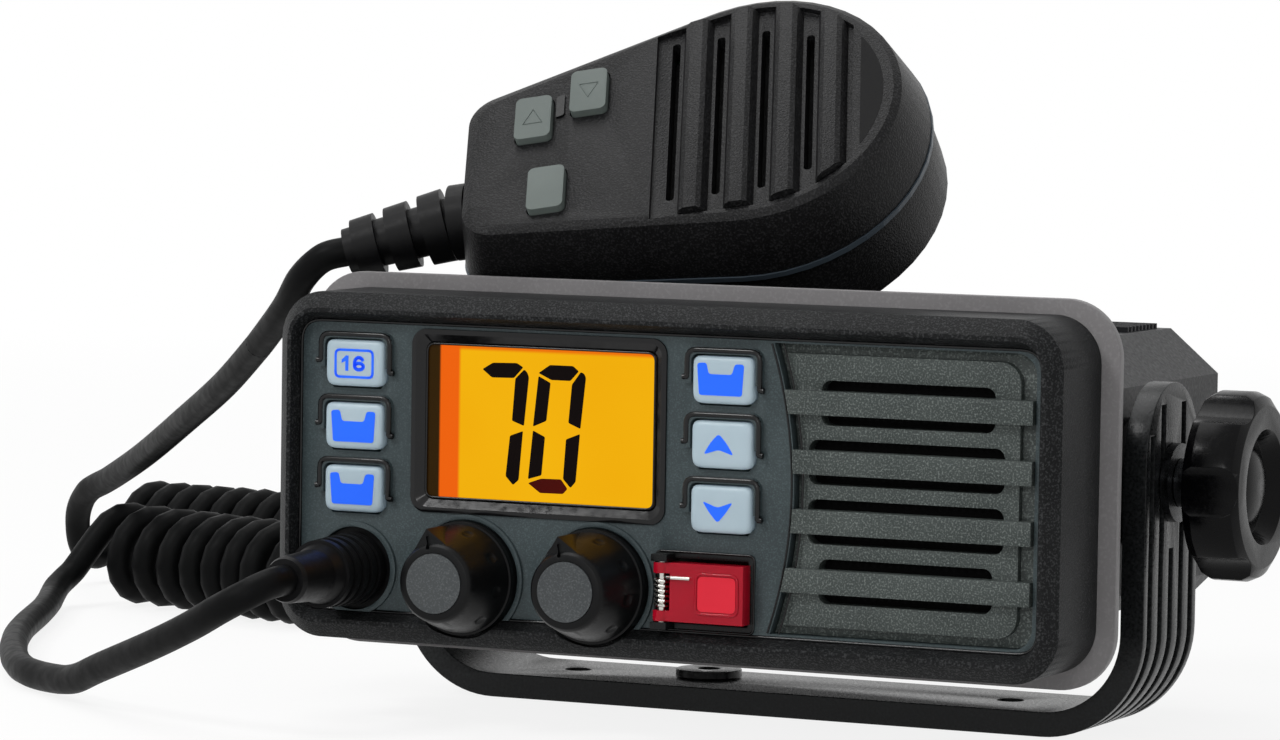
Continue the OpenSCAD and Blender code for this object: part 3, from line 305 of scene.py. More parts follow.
def ramp(tree, value, low, high):
    """A socket that rises from 0 to 1 as a value goes from low to high."""
    rise = add(tree, "ShaderNodeMapRange", {"Value": value, "From Min": low, "From Max": high})
    return rise.outputs["Result"]


GLOW_TOP = (0.0720, 0.0714)  # metres up, between the orange line and the amber
GLOW_LEFT = (-0.0424, -0.0418)  # metres across, between the orange strip and the amber
GLOW_SHADOW = (-0.0464, -0.0460)  # metres across, between the frame's painted shadow and the strip


def display_glow(tree):
    """Pattern of the lit display: even amber, orange-red down its left edge, a thin orange line along its
    top, and a painted shadow of the frame at the far left, in black."""
    place = add(tree, "ShaderNodeTexCoord").outputs["Object"]
    split = add(tree, "ShaderNodeSeparateXYZ", {"Vector": place})
    haze = add(tree, "ShaderNodeTexNoise", {"Vector": place, "Scale": scaled(22), "Detail": 1.0})
    amber = blended(tree, haze.outputs["Fac"], "#f2ab00", "#f8bb08")
    warm = blended(tree, ramp(tree, split.outputs["Z"], *GLOW_TOP), "#ee7204", amber)
    strip = blended(tree, ramp(tree, split.outputs["X"], *GLOW_LEFT), "#f06008", warm)
    # painted shadow: the frame's shadow painted in black at the display's far left
    edge = blended(tree, ramp(tree, split.outputs["X"], *GLOW_SHADOW), "#120602", strip)
    return {"Emission Color": edge}


# Display: amber backlight seen through the liquid crystal and its clear window.
display_amber = finish_of("display_lit_amber", {"Base Color": linear("#2a1c02"), "Specular IOR Level": 0.04,
                                                "Roughness": 0.2, "Emission Strength": 0.95}, display_glow)

# ---- making meshes: all sizes below are in millimetres ----


def box_of(node, origin=(0, 0, 0)):
    """A CAD node's box seen from the front: its middle across and up, its width and height, and the depth of
    its front, all to a hundredth."""
    points = np.array([corner.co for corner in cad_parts[node].data.vertices]) / MM - np.array(origin)
    low, high = points.min(axis=0), points.max(axis=0)
    numbers = [*(low + high)[::2] / 2, *(high - low)[::2], low[1]]
    return [round(float(number), 2) for number in numbers]


panel_x, panel_z, *_, panel_front = box_of("front_panel")
PANEL = Vector((panel_x, panel_front, panel_z))  # the middle of the panel's rim
MIC_PLACE = Matrix.Translation((-1.6, -19.5, 117.8)) @ Euler(
    (math.radians(45), math.radians(-9.3), math.radians(13.7)), "XYZ").to_matrix().to_4x4()


def link(name, mesh, body=None, material=None):
    """Puts a mesh in the scene as a piece that rides on a body."""
    piece = bpy.data.objects.new(name, mesh)
    bpy.context.scene.collection.objects.link(piece)
    if material:
        mesh.materials.clear()
        mesh.materials.append(material)
    if body:
        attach(piece, body)
    return piece


def smooth(mesh, degrees=35):
    """Smooth shading, with sharp edges where faces meet at more than this angle."""
    mesh.shade_smooth()
    mesh.set_sharp_from_angle(angle=math.radians(degrees))


def mesh_of(name, points, faces, place=None, angle=35):
    """A mesh from points in millimetres, turned into place, with its faces pointing outwards."""
    mesh = bpy.data.meshes.new(name)
    place = place or Matrix.Identity(4)
    mesh.from_pydata([tuple((place @ Vector(p)) * MM) for p in points], [], faces)
    shape = bmesh.new()
    shape.from_mesh(mesh)
    bmesh.ops.remove_doubles(shape, verts=shape.verts, dist=1e-7)
    bmesh.ops.recalc_face_normals(shape, faces=shape.faces)
    shape.to_mesh(mesh)
    shape.free()
    smooth(mesh, angle)
    return mesh


def softened(node, material, body, width=0.35, segments=2, angle=30):
    """A moulded piece made from a CAD node, with its sharp edges rounded over as a mould leaves them."""
    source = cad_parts[node]
    mesh = source.data.copy()
    mesh.name = node + "_moulding"
    shape = bmesh.new()
    shape.from_mesh(mesh)
    bmesh.ops.remove_doubles(shape, verts=shape.verts, dist=2e-6)
    bmesh.ops.dissolve_limit(shape, angle_limit=math.radians(1.0), verts=shape.verts, edges=shape.edges)
    shape.to_mesh(mesh)
    shape.free()
    piece = link(mesh.name, mesh)
    bevel = piece.modifiers.new("edges", "BEVEL")
    bevel.width = width * MM
    bevel.segments = segments
    bevel.limit_method = "ANGLE"
    bevel.angle_limit = math.radians(angle)
    bevel.use_clamp_overlap = True
    plain(piece, material, body)
    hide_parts(node)


def plain(piece, material, body, angle=40):
    """Makes a piece and its modifiers one plain mesh, with its material, that rides on its body."""
    ready = bpy.data.meshes.new_from_object(piece.evaluated_get(bpy.context.evaluated_depsgraph_get()))
    piece.modifiers.clear()
    piece.data = ready
    ready.materials.clear()
    ready.materials.append(material)
    smooth(ready, angle)
    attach(piece, body)


def paint(material, *nodes):
    """Gives CAD nodes a material."""
    for name in nodes:
        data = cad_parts[name].data
        data.materials.clear()
        data.materials.append(material)


def eased(before, corner, after, radius, steps=4):
    """A short curve round a corner, from this far before it to this far after it."""
    before, corner, after = Vector(before), Vector(corner), Vector(after)
    a, b = [corner + (end - corner).normalized() * min(radius, (end - corner).length * 0.45)
            for end in (before, after)]
    return [tuple((1 - t) ** 2 * a + 2 * t * (1 - t) * corner + t * t * b)
            for t in (k / steps for k in range(steps + 1))]


def rounded_corners(points, radius, steps=4):
    """An outline with all its corners eased."""
    out = []
    for before, corner, after in zip(points[-1:] + points[:-1], points, points[1:] + points[:1]):
        out += eased(before, corner, after, radius, steps)
    return out


def panel_slab(name, outlines, front, back, body, material, slot=None):
    """Flat outlines in the panel's X and Z, solid from one depth behind the rim to another."""
    points, faces = [], []
    for outline in outlines:
        base, n = len(points), len(outline)
        points += [(x, front, z) for x, z in outline] + [(x, back, z) for x, z in outline]
        faces.append(list(range(base, base + n)))
        faces.append(list(range(base + 2 * n - 1, base + n - 1, -1)))
        faces += [[base + i, base + (i + 1) % n, base + n + (i + 1) % n, base + n + i] for i in range(n)]
    link(name, mesh_of(name, points, faces, Matrix.Translation(PANEL)), body, material)


def stroke(points, width, closed=False):
    """The outlines of a line of this width, one four-sided piece for each stretch."""
    points = [Vector(p) for p in points]
    if closed:
        points.append(points[0])
    out = []
    for a, b in zip(points, points[1:]):
        along = (b - a).normalized() * width * 0.5
        side = Vector((-along.y, along.x))
        first, last = a - along * 0.3, b + along * 0.3
        out.append([tuple(p) for p in (first - side, last - side, last + side, first + side)])
    return out


def arc(cx, cy, rx, ry, start, end, steps=14):
    """Points along an oval's arc, its angles in degrees."""
    return [(cx + rx * math.cos(math.radians(start + (end - start) * k / steps)),
             cy + ry * math.sin(math.radians(start + (end - start) * k / steps))) for k in range(steps + 1)]


# ---- beads and rows, made by Geometry Nodes ----


def node_group(name, inputs):
    """An empty Geometry Nodes tree with these named inputs, and the sockets at its two ends."""
    tree = bpy.data.node_groups.new(name, "GeometryNodeTree")
    tree.interface.new_socket("Geometry", in_out="INPUT", socket_type="NodeSocketGeometry")
    for label, kind in inputs:
        tree.interface.new_socket(label, in_out="INPUT", socket_type="NodeSocket" + kind)
    tree.interface.new_socket("Geometry", in_out="OUTPUT", socket_type="NodeSocketGeometry")
    return tree, tree.nodes.new("NodeGroupInput").outputs, tree.nodes.new("NodeGroupOutput").inputs


def finished(tree, shape, given, result):
    """Ends a tree: copies become real, and the shape gets its finish."""
    whole = add(tree, "GeometryNodeRealizeInstances", {"Geometry": shape})
    done = add(tree, "GeometryNodeSetMaterial", {"Geometry": whole.outputs["Geometry"],
                                                 "Material": given["Finish"]})
    tree.links.new(done.outputs["Geometry"], result["Geometry"])
    return tree


def bead_tree():
    """Sweeps a round bead along the edges of a piece."""
    tree, given, result = node_group("bead_along_edges", (("Bead radius", "Float"), ("Bead sides", "Int"),
                                                          ("Finish", "Material")))
    line = add(tree, "GeometryNodeMeshToCurve", {"Mesh": given["Geometry"]})
    bead = add(tree, "GeometryNodeCurvePrimitiveCircle", {"Resolution": given["Bead sides"],
                                                          "Radius": given["Bead radius"]})
    swept = add(tree, "GeometryNodeCurveToMesh", {"Curve": line.outputs["Curve"],
                                                  "Profile Curve": bead.outputs["Curve"], "Fill Caps": True})
    return finished(tree, swept.outputs["Mesh"], given, result)


def row_tree():
    """Repeats one piece along a straight row."""
    tree, given, result = node_group("row_of_copies", (("Copies", "Int"), ("Step", "Vector"),
                                                       ("Finish", "Material")))
    row = add(tree, "GeometryNodeMeshLine", {"Count": given["Copies"], "Offset": given["Step"]},
              mode="OFFSET")
    put = add(tree, "GeometryNodeInstanceOnPoints", {"Points": row.outputs["Mesh"],
                                                     "Instance": given["Geometry"]})
    return finished(tree, put.outputs["Instances"], given, result)


BEAD, ROW = bead_tree(), row_tree()


def grown(name, mesh, tree, values, material, body):
    """A plain piece from a Geometry Nodes tree that works on a base mesh."""
    piece = link(name, mesh)
    maker = piece.modifiers.new("maker", "NODES")
    maker.node_group = tree
    given = dict(values, Finish=material)
    for socket in tree.interface.items_tree:
        if socket.in_out == "INPUT" and socket.name in given:
            maker[socket.identifier] = given[socket.name]
    plain(piece, material, body, 60)
    shape = bmesh.new()
    shape.from_mesh(piece.data)
    bmesh.ops.recalc_face_normals(shape, faces=shape.faces)
    shape.to_mesh(piece.data)
    shape.free()


def bead(name, paths, radius, material, body, slot=None, place=None, closed=False, sides=8):
    """Round beads along paths given in millimetres in the panel, or in another place."""
    place = place or Matrix.Translation(PANEL)
    points, edges = [], []
    for path in paths:
        base, n = len(points), len(path)
        points += [tuple((place @ Vector(p)) * MM) for p in path]
        edges += [(base + i, base + i + 1) for i in range(n - 1)]
        if closed:
            edges.append((base + n - 1, base))
    mesh = bpy.data.meshes.new(name)
    mesh.from_pydata(points, edges, [])
    grown(name, mesh, BEAD, {"Bead radius": radius * MM, "Bead sides": sides}, material, body)


def rectangle(x, z, w, h):
    """The corners of a rectangle from its middle, its width and its height."""
    return [(x - w / 2, z + h / 2), (x + w / 2, z + h / 2), (x + w / 2, z - h / 2), (x - w / 2, z - h / 2)]


def frame_path(x, z, w, h, corner, depth):
    """A rectangle with round corners in the panel, at one depth."""
    return [(a, depth, b) for a, b in rounded_corners(rectangle(x, z, w, h), corner, 6)]


def path_round(node, margin, corner, depth):
    """A path this far outside a CAD node's box, at one depth in the panel."""
    x, z, w, h, _ = box_of(node, PANEL)
    return frame_path(x, z, w + 2 * margin, h + 2 * margin, corner, depth)


# ---- cord: out of the gland, along the surface, through its curls and up to the microphone ----

CORD_D = 5.8
CURL_R = 8.4
LEAD_ROUTE = [(-63.3, -90.7, 29.3), (-63.4, -96, 29.1), (-66, -100, 27.3), (-71.5, -100, 24.4),
              (-80.7, -95.5, 20), (-93.8, -87.3, 14.8), (-112.2, -74, 8.3), (-123, -65.5, 4.5),
              (-133, -57.5, 3.2), (-144, -48.5, 3), (-156, -33, 3), (-170, -10.5, 3), (-183, 14, 3),
              (-197, 45, 3), (-205.5, 62.5, 3), (-209.5, 70.5, 3.4), (-211.7, 76.2, 4.7),
              (-212.4, 80.2, 5.9), (-212, 83.8, 7.8), (-210.64, 86.27, 11.06)]
TAIL_ROUTE = [(-81.1, -34.25, 87.75), (-85.4, -35.7, 86.4), (-90.8, -34.3, 82.2), (-98, -27.5, 75.8),
              (-111.1, -14, 67.6), (-131.3, 8, 57.4), (-157.7, 38, 46.9), (-189.3, 76, 35.6),
              (-213.6, 102.7, 27.2), (-225, 112.2, 23), (-231, 118, 17.6), (-233.2, 121.8, 11.7),
              (-233.4, 125, 7.6), (-233, 129.9, 6), (-232, 134.7, 7.6), (-231.05, 137.84, 11.02)]
TAIL_SPLIT = 4  # the point of the tail where its lower stretch ends and its upper one starts
FRONT_CURLS, BEND_CURLS, REAR_CURLS = 7.5, 11, 14.5
LOOSE_CURLS, LOOSE_REACH = 6, 9.6  # the first curls are pulled apart, less and less along the row
CURLS = FRONT_CURLS + BEND_CURLS + REAR_CURLS
CURL_PITCH, BEND_PITCH, BEND_R = 6.4, 9.1, 30
COIL_START, COIL_HEADING = (-206, 96), -20
CURL_LEAD_IN, CURL_LEAD_OUT = 30, 150  # how far round a curl the wound stretch starts and ends, in degrees
COIL_LIFT = 0.1  # between the curls and what they lie on
CURL_STEPS = 16
SHORT_WAY = 0.04  # of a curl, to see which way the cord runs at either end of its curls


def route(points, steps=6):
    """A smooth line through given points."""
    p = [np.array(q, float) for q in points]
    out = []
    for i in range(len(p) - 1):
        p0, p1, p2, p3 = p[max(i - 1, 0)], p[i], p[i + 1], p[min(i + 2, len(p) - 1)]
        for k in range(steps + (i == len(p) - 2)):
            t = k / steps
            out.append(0.5 * (2 * p1 + (p2 - p0) * t + (2 * p0 - 5 * p1 + 4 * p2 - p3) * t * t
                              + (3 * p1 - 3 * p2 + p3 - p0) * t ** 3))
    return out


def curls_of_cord():
    """The wound stretch: curls about a line that runs forward, round a bend and back."""
    rise = CURL_R + CORD_D / 2 + COIL_LIFT
    end_turn = CURL_LEAD_OUT - CURL_LEAD_IN - 360 * (CURLS - math.floor(CURLS))

    def level(a):
        return np.array([math.cos(math.radians(a)), math.sin(math.radians(a)), 0])

    def point(u):
        a = COIL_HEADING + math.degrees(min(max(u - FRONT_CURLS, 0), BEND_CURLS) * BEND_PITCH / BEND_R)
        loosened = LOOSE_REACH * (1 - (1 - min(u, LOOSE_CURLS) / LOOSE_CURLS) ** 2)
        reached = min(u, FRONT_CURLS) * CURL_PITCH + loosened
        corner = np.array([*COIL_START, rise]) + reached * level(COIL_HEADING)
        centre = corner + BEND_R * level(COIL_HEADING + 90)
        line = centre - BEND_R * level(a + 90) + max(u - FRONT_CURLS - BEND_CURLS, 0) * CURL_PITCH * level(a)
        turn = math.radians(CURL_LEAD_IN + 360 * u + end_turn * u / CURLS)
        return line + CURL_R * (math.cos(turn) * level(a - 90) + np.array([0, 0, math.sin(turn)]))

    wound = [point(i / CURL_STEPS) for i in range(int(CURLS * CURL_STEPS) + 1)]
    before, after = wound[0] - point(SHORT_WAY), wound[-1] - point(CURLS - SHORT_WAY)
    return ([wound[0] + CORD_D * before / np.linalg.norm(before)] + wound
            + [wound[-1] + CORD_D * after / np.linalg.norm(after)])


def tube(name, line, diameter, sides=14):
    """A round tube that follows a line, with closed ends."""
    line = [np.array(p, float) for p in line]
    points, faces = [], []
    side = np.array([0.3, 0.2, 1.0])
    for i, p in enumerate(line):
        ahead = line[min(i + 1, len(line) - 1)] - line[max(i - 1, 0)]
        ahead /= np.linalg.norm(ahead)
        side = side - (side @ ahead) * ahead
        side /= np.linalg.norm(side)
        other = np.cross(ahead, side)
        for k in range(sides):
            a = 2 * math.pi * k / sides
            points.append(tuple(p + diameter / 2 * (math.cos(a) * side + math.sin(a) * other)))
    for i in range(len(line) - 1):
        for k in range(sides):
            m = (k + 1) % sides
            faces.append([i * sides + k, i * sides + m, (i + 1) * sides + m, (i + 1) * sides + k])
    faces += [list(range(sides))[::-1], [(len(line) - 1) * sides + k for k in range(sides)]]
    return mesh_of(name, points, faces, angle=60)


lead = route(LEAD_ROUTE)
tail_low = route(TAIL_ROUTE[TAIL_SPLIT:])[::-1]
tail_high = route(TAIL_ROUTE[: TAIL_SPLIT + 1])
main_line = lead[:-1] + curls_of_cord() + tail_low[1:]
main_cord = link("cord_main", tube("cord_main", main_line, CORD_D), None, cord_jacket)
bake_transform(main_cord)
upper_cord = link("cord_upper", tube("cord_upper", tail_high, CORD_D), None, cord_jacket)
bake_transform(upper_cord)
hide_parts("cord_lead", "cord_coil")
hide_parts("cord_tail")

# ---- moulded pieces whose edges catch the light ----

softened("front_panel", bezel_abs, "radio", width=0.5, segments=3)
softened("face_plate", plate_paint, "radio", width=0.25)
softened("speaker_grille", grille_abs, "radio", width=0.35)
softened("gasket", gasket_rubber, "radio", width=0.6, segments=3)
softened("chassis", body_paint, "radio", width=0.4)
softened("bracket", bracket_abs, "bracket", width=0.9, segments=3)
softened("clamp_knob_right", clamp_abs, "clamp_right", width=0.8, segments=3, angle=25)
softened("clamp_knob_left", clamp_abs, "clamp_left", width=0.8, segments=3, angle=25)
softened("mic_front_shell", mic_abs, "mic", width=0.5, segments=3, angle=25)
softened("mic_rear_shell", mic_abs, "mic", width=0.8, segments=3, angle=25)
softened("mic_ptt", mic_smooth_abs, "talk_lever", width=0.8, segments=3)
for key, body in (("up", "mic_up"), ("down", "mic_down"), ("power", "mic_power")):
    softened("mic_key_" + key, mic_key_rubber, body, width=0.5, segments=3)
for control in ("squelch", "volume"):
    softened(control + "_knob", knob_abs, control + "_control",
             width=0.35, segments=3, angle=28)
softened("display_surround", surround_acrylic, "radio", width=0.3)
softened("distress_tray", dark_abs, "radio", width=0.15)
softened("distress_cover", cover_red, "cover", width=0.6, segments=3)
softened("distress_button", button_red, "distress_key", width=0.4, segments=3)

# ---- CAD nodes that keep their own shape ----

paint(speaker_cloth, "speaker_mesh", "speaker")
paint(display_amber, "display_lens", "lcd_panel")
paint(backlight_sheet, "lcd_backlight")
paint(cap_paint, "squelch_cap", "volume_cap")
paint(turned_steel, "squelch_shaft", "volume_shaft", "squelch_pot", "volume_pot", "panel_screws",
      "mic_screws", "mic_capsule")
paint(nickel_plate, "distress_pin", "distress_spring", "antenna_socket")
paint(black_zinc, "clamp_washers", "clamp_stud_left", "clamp_stud_right")
paint(board_mask, "panel_board", "main_board", "mic_board")
paint(brass, "thread_inserts")
paint(pad_rubber, "friction_pads", "power_gland")
paint(seal_rubber, "mic_seal")
paint(mic_smooth_abs, "mic_button")
paint(relief_rubber, "mic_relief", "cord_gland")

# ---- keys: crowned caps with round corners ----

KEY_W, KEY_H = 12.3, 8.8
KEYS = ("16", "channel", "call", "scan", "up", "down")
KEY_PLACES = {key: box_of("key_" + key, PANEL)[:2] for key in KEYS}
KEY_FACE = box_of("key_16", PANEL)[-1]
KEY_BACK = 4.2


def key_cap(key, x, z):
    """A silicone key: straight sides, a rolled rim and a slightly crowned face."""
    # each ring's depth, and how far it lies inside the key's edge
    rings = [(KEY_BACK, 0), (KEY_FACE + 1.0, 0), (KEY_FACE + 0.5, 0.12), (KEY_FACE + 0.2, 0.4),
             (KEY_FACE + 0.04, 0.85), (KEY_FACE, 1.4), (KEY_FACE - 0.05, 2.6)]
    points, faces, count = [], [], 0
    for depth, inset in rings:
        w, h, cut = KEY_W / 2 - inset, KEY_H / 2 - inset, 1.0
        corners = [(-w, h), (w, h), (w, -h + cut), (w - cut, -h), (-w + cut, -h), (-w, -h + cut)]
        outline = rounded_corners(corners, max(1.5 - 0.4 * inset, 0.5))
        count = len(outline)
        points += [(x + a, depth, z + b) for a, b in outline]
    for r in range(len(rings) - 1):
        for i in range(count):
            k = (i + 1) % count
            faces.append([r * count + i, r * count + k, (r + 1) * count + k, (r + 1) * count + i])
    faces += [list(range(count)), list(range((len(rings) - 1) * count, len(rings) * count))]
    name = "cap_" + key
    cap = link(name, mesh_of(name, points, faces, Matrix.Translation(PANEL), 60), "btn_" + key,
               key_silicone)
    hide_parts("key_" + key)


for key, (x, z) in KEY_PLACES.items():
    key_cap(key, x, z)

# ---- polished beads round the keys, the window, the glass and the grille ----


# depths of the beads' centres behind the panel's rim
HOOD_BEAD, PLATE_BEAD, GRILLE_BEAD, GLASS_BEAD, COVER_BEAD = 2.05, 2.9, 2.95, 3.75, -0.42


def hood_path(x, z):
    """Over a key, from its left shoulder round its top and half way down its right side, with short feet."""
    w, h = KEY_W / 2 + 1.15, KEY_H / 2 + 1.1
    line = [(-w - 0.9, 0.4), (-w, 0.4), (-w, h), (w, h), (w, -1.6), (w + 0.9, -1.6)]
    turned = [line[0]]
    for before, corner, after, radius in zip(line, line[1:], line[2:], (0.3, 1.8, 1.8, 0.3)):
        turned += eased(before, corner, after, radius)
    turned.append(line[-1])
    return [(x + a, HOOD_BEAD, z + b) for a, b in turned]


hoods = [hood_path(x, z) for x, z in KEY_PLACES.values()]
bead("key_hoods", hoods, 0.55, bead_abs, "radio", "black_panel")
bead("window_bead", [path_round("face_plate", -1.1, 4.2, PLATE_BEAD)], 0.32, bead_abs, "radio",
     "black_panel", closed=True)
bead("glass_bead", [path_round("display_lens", 0.1, 1.6, GLASS_BEAD)], 0.22, bead_abs, "radio",
     "surround_black", closed=True)

ARC_R, ARC_X, ARC_TOP = 83, 27.1, 26.6
arcs = [[(ARC_X - ARC_R + math.sqrt(r * r - z * z), GRILLE_BEAD, z)
         for z in np.linspace(-ARC_TOP, ARC_TOP, 30)] for r in (ARC_R - 0.45, ARC_R + 1.75)]
bead("arc_beads", arcs, 0.2, bead_abs, "radio", "black_panel")

COVER_MIDDLE = (13.4, -19.85)
bead("cover_rim", [frame_path(*COVER_MIDDLE, 8.4, 7.4, 1.4, COVER_BEAD)], 0.3, cover_red, "cover",
     "cover_red", closed=True)
# the thin face of the cover, as red as the button that shows through it, with its painted glow
panel_slab("cover_window", [rounded_corners(rectangle(*COVER_MIDDLE, 7.6, 6.5), 1.0)],
           -0.46, -0.36, "cover", button_red, "cover_red")
bead("well_bead", [path_round("distress_tray", 0.25, 1.2, PLATE_BEAD)], 0.22, bead_abs, "radio",
     "black_panel", closed=True)

# ---- microphone: cloth behind its slots, smooth end, marks on its keys and grip ridges ----


def mic_plate(name, outline, low, high, material):
    """A flat outline in the microphone's own X and Y, solid between two heights."""
    n = len(outline)
    points = [(x, y, low) for x, y in outline] + [(x, y, high) for x, y in outline]
    faces = [list(range(n)), list(range(n, 2 * n))]
    faces += [[i, (i + 1) % n, n + (i + 1) % n, n + i] for i in range(n)]
    link(name, mesh_of(name, points, faces, MIC_PLACE), "mic", material)


mic_plate("mic_cloth", arc(0, 0, 25, 25, -133, 133, 40), -4.8, -4.55, speaker_cloth)
mic_plate("mic_smooth_end", rounded_corners(arc(0, 0, 25.6, 25.6, -34.5, 34.5, 16), 0.5, 2),
          -0.4, 0.05, mic_smooth_abs)
DIVIDER = [(-38.9, 4.1), (-37.3, 4.6), (-37.3, 10.1), (-38.9, 9.6)]
mic_plate("mic_key_divider", rounded_corners(DIVIDER, 0.4), -0.3, 0.5, dark_abs)

MARK_HEIGHT = 1.5
for key, x, y, way in (("up", -43.2, 4.1, 1), ("down", -32.4, 9.4, -1)):
    base = y - 1.7 * way
    triangle = [(x - 1.9, base, MARK_HEIGHT), (x + 1.9, base, MARK_HEIGHT), (x, y + 2.0 * way, MARK_HEIGHT)]
    bead("mic_mark_" + key, [triangle], 0.13, mic_key_rubber, "mic_" + key, "mic_key_grey", MIC_PLACE,
         closed=True, sides=6)

RIDGE_HEIGHTS = (-22.2, -20.5, -18.8, -17.1, -15.4)
RIDGES, RIDGE_SPACING = 5, 2.4
ridge_line = [MIC_PLACE @ Vector((-6.8, 35.3, z)) for z in RIDGE_HEIGHTS]
ridge_step = tuple(MIC_PLACE.to_3x3() @ Vector((RIDGE_SPACING, 0, 0)) * MM)
grown("lever_ridges", tube("grip_ridge_source", ridge_line, 1.2, 10), ROW,
      {"Copies": RIDGES, "Step": ridge_step}, mic_smooth_abs, "talk_lever")

# ---- printed marks on the keys, just proud of their faces ----

INK = (KEY_FACE - 0.1, KEY_FACE + 0.2)
SIX_STROKE, BOX_STROKE = 0.66, 0.46


def key_mark(key, outlines):
    """Prints outlines on a key in blue."""
    panel_slab("mark_" + key, outlines, *INK, "btn_" + key, key_ink)


box = stroke(rounded_corners(rectangle(-63.25, 19.45, 7.9, 5.1), 0.9), BOX_STROKE, closed=True)
one = [(-65.9, 20.1), (-65.9, 19.5), (-65.1, 19.9), (-65.1, 18.05), (-64.45, 18.05), (-64.45, 20.95),
       (-64.95, 20.95)]
six_ring = stroke(arc(-62.2, 18.95, 0.95, 0.62, 0, 360), SIX_STROKE)
six_tail = stroke(arc(-62.2, 19.5, 0.95, 1.15, 30, 180, 10) + [(-63.15, 18.95)], SIX_STROKE)
key_mark("16", box + [one] + six_ring + six_tail)

HORNS = [(-4.65, 2.95), (-2.85, 3.1), (-2.3, 1.0), (2.35, 1.0), (2.95, 3.0), (4.75, 2.95), (4.4, -2.9),
         (-4.2, -2.9)]
for key, x, z in (("channel", -63.35, 7.5), ("call", -63.45, -4.35), ("scan", 12.62, 19.6)):
    key_mark(key, [rounded_corners([(x + a, z + b) for a, b in HORNS], 0.55)])

UP_ARROW = [(9.5, 5.75), (10.9, 8.0), (12.5, 9.7), (14.1, 8.0), (15.6, 5.75), (12.55, 6.75)]
DOWN_ARROW = [(9.4, -2.8), (12.5, -3.95), (15.6, -2.8), (14.1, -4.95), (12.55, -6.75), (10.9, -4.95)]
for key, arrow in (("up", UP_ARROW), ("down", DOWN_ARROW)):
    key_mark(key, [rounded_corners(arrow, 0.7)])

# ---- display: two slanted digits of pointed segments ----

GLASS = box_of("display_lens", PANEL)[-1]
DIGITS = [
    [(-37.36, 19.39), (-35.2, 20.68), (-30.19, 20.81), (-28.85, 20.04), (-30.77, 17.98), (-35.37, 17.89)],
    [(-28.63, 19.68), (-28.0, 19.11), (-27.65, 18.22), (-28.55, 9.08), (-31.06, 9.97), (-30.48, 17.88)],
    [(-28.74, 8.13), (-29.51, -1.1), (-30.67, -2.1), (-32.24, -0.49), (-31.44, 7.14)],
    [(-25.67, 19.13), (-23.33, 20.72), (-18.57, 20.73), (-17.32, 19.78), (-19.06, 17.92), (-22.99, 17.93)],
    [(-25.66, 18.57), (-23.15, 17.37), (-23.91, 10.23), (-26.67, 9.05)],
    [(-26.66, 8.34), (-24.15, 7.22), (-24.78, 0.0), (-27.56, -0.82)],
    [(-16.9, 19.69), (-16.19, 19.34), (-15.85, 18.61), (-16.85, 9.06), (-19.35, 10.06), (-18.72, 17.26)],
    [(-16.92, 8.12), (-17.68, -0.88), (-18.73, -2.06), (-20.29, -0.45), (-19.79, 6.98)],
]
LOW_SEGMENT = [(-27.54, -1.57), (-24.85, -0.61), (-20.7, -0.55), (-19.35, -2.28), (-20.25, -3.26),
               (-25.02, -3.31)]
for name, segments, crystal in (("display_digits", DIGITS, crystal_black),
                                ("display_low_segment", [LOW_SEGMENT], crystal_brown)):
    outlines = [rounded_corners(segment, 0.25, 2) for segment in segments]
    panel_slab(name, outlines, GLASS - 0.03, GLASS + 0.2, "radio", crystal)

# ---- floor, backdrop and lights ----

WHITE = (1, 1, 1, 1)
FLOOR_HALF, FLOOR_DROP = 6, 0.0003  # metres
SHADOW_NEAR, SHADOW_FAR = 0.45, 1.2  # metres from the middle, between shaded paper and plain white
NEAR_WHITE = 0.86
AMBIENT = 0.45


def looked_at(tree):
    """1 for the rays of the camera, mirrors and glass, and 0 for the light that falls on the object."""
    rays = add(tree, "ShaderNodeLightPath").outputs
    found = rays["Is Camera Ray"]
    for kind in ("Is Glossy Ray", "Is Transmission Ray"):
        found = add(tree, "ShaderNodeMath", {0: found, 1: rays[kind]}, operation="MAXIMUM").outputs[0]
    return found


def chosen(tree, factor, first, second):
    """A mix of two shaders."""
    mix = add(tree, "ShaderNodeMixShader", {0: factor, 1: first.outputs[0], 2: second.outputs[0]})
    return mix.outputs["Shader"]


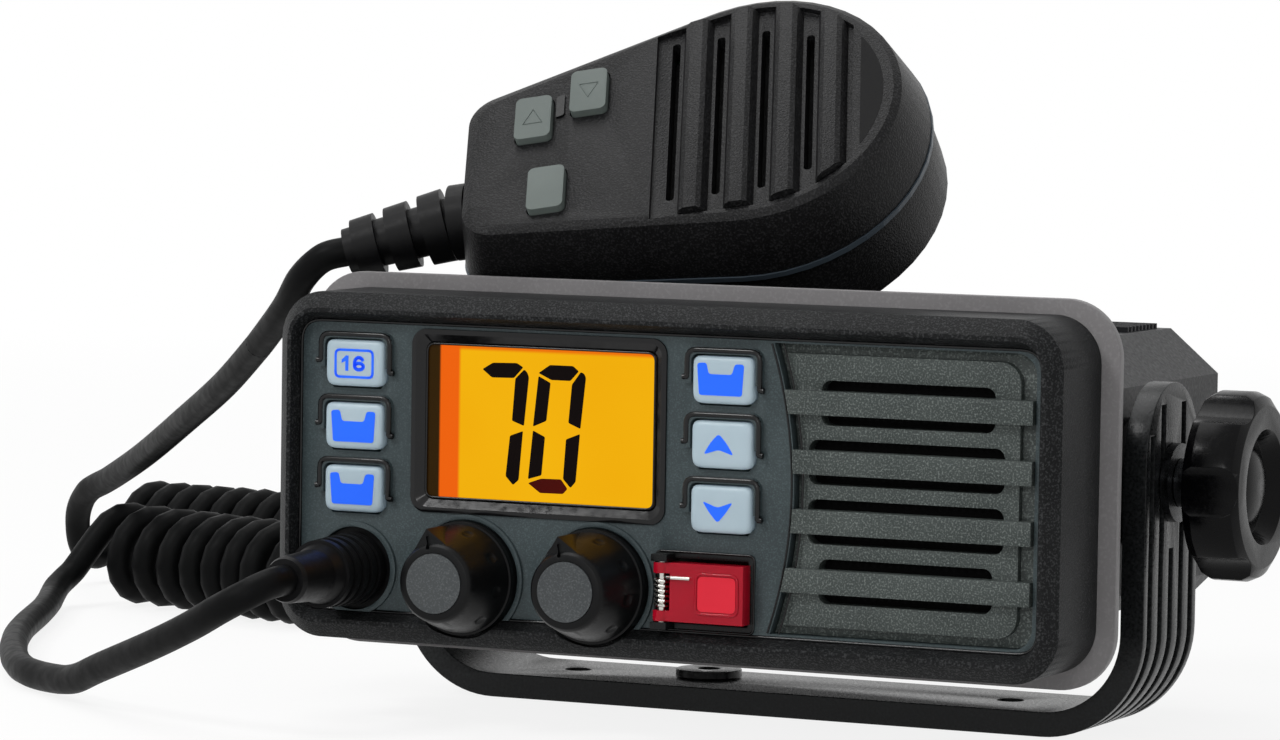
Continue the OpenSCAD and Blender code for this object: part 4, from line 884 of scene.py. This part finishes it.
# Floor: matt white paper with 3 mm fibre clouds. It keeps the soft shadow near the radio and goes to plain
# white far from it.
floor_material = bpy.data.materials.new("floor_pale_paper")
floor_material.use_nodes = True
tree = floor_material.node_tree
tree.nodes.clear()
place = add(tree, "ShaderNodeTexCoord").outputs["Object"]
spread = add(tree, "ShaderNodeVectorMath", {0: place}, operation="LENGTH").outputs["Value"]
far = add(tree, "ShaderNodeMapRange", {"Value": spread, "From Min": SHADOW_NEAR, "From Max": SHADOW_FAR})
lift = add(tree, "ShaderNodeMapRange", {"Value": far.outputs["Result"], "To Min": NEAR_WHITE, "To Max": 1.0})
lift = add(tree, "ShaderNodeMath", {0: lift.outputs["Result"], 1: looked_at(tree)}, operation="MULTIPLY")
fibre = add(tree, "ShaderNodeTexNoise", {"Vector": place, "Scale": scaled(3), "Detail": 2.0}).outputs["Fac"]
paper = add(tree, "ShaderNodeBsdfDiffuse", {"Color": blended(tree, fibre, "#eeeeed", "#f2f2f1")})
white = add(tree, "ShaderNodeEmission", {"Color": WHITE, "Strength": 1.0})
add(tree, "ShaderNodeOutputMaterial", {"Surface": chosen(tree, lift.outputs[0], paper, white)})
floor_mesh = bpy.data.meshes.new("floor")
floor_corners = [(x * FLOOR_HALF, y * FLOOR_HALF, -FLOOR_DROP)
                 for x, y in ((-1, -1), (1, -1), (1, 1), (-1, 1))]
floor_mesh.from_pydata(floor_corners, [], [[0, 1, 2, 3]])
link("floor", floor_mesh, material=floor_material)

world = bpy.data.worlds.new("studio")
world.use_nodes = True
bpy.context.scene.world = world
tree = world.node_tree
tree.nodes.clear()
ambient = add(tree, "ShaderNodeBackground", {"Color": WHITE, "Strength": AMBIENT})
backdrop = add(tree, "ShaderNodeBackground", {"Color": WHITE, "Strength": 1.0})
add(tree, "ShaderNodeOutputWorld", {"Surface": chosen(tree, looked_at(tree), ambient, backdrop)})


def softbox(name, place, target, width, height, watts):
    """A soft rectangular lamp that points at a target."""
    data = bpy.data.lights.new(name, "AREA")
    data.shape = "RECTANGLE"
    data.size, data.size_y, data.energy = width, height, watts
    lamp = bpy.data.objects.new(name, data)
    lamp.location = place
    lamp.rotation_euler = (Vector(target) - Vector(place)).to_track_quat("-Z", "Y").to_euler()
    bpy.context.scene.collection.objects.link(lamp)


softbox("key_light", (-0.8, -1.3, 1.4), (0, 0, 0.05), width=0.5, height=0.4, watts=15)
softbox("fill_light", (0.42, -1.7, 0.66), (0, 0, 0.08), width=0.5, height=0.4, watts=5)
softbox("top_light", (-0.4, 0.05, 1.4), (0, 0, 0.05), width=1.2, height=0.7, watts=8)

bpy.context.scene.view_settings.view_transform = "Standard"
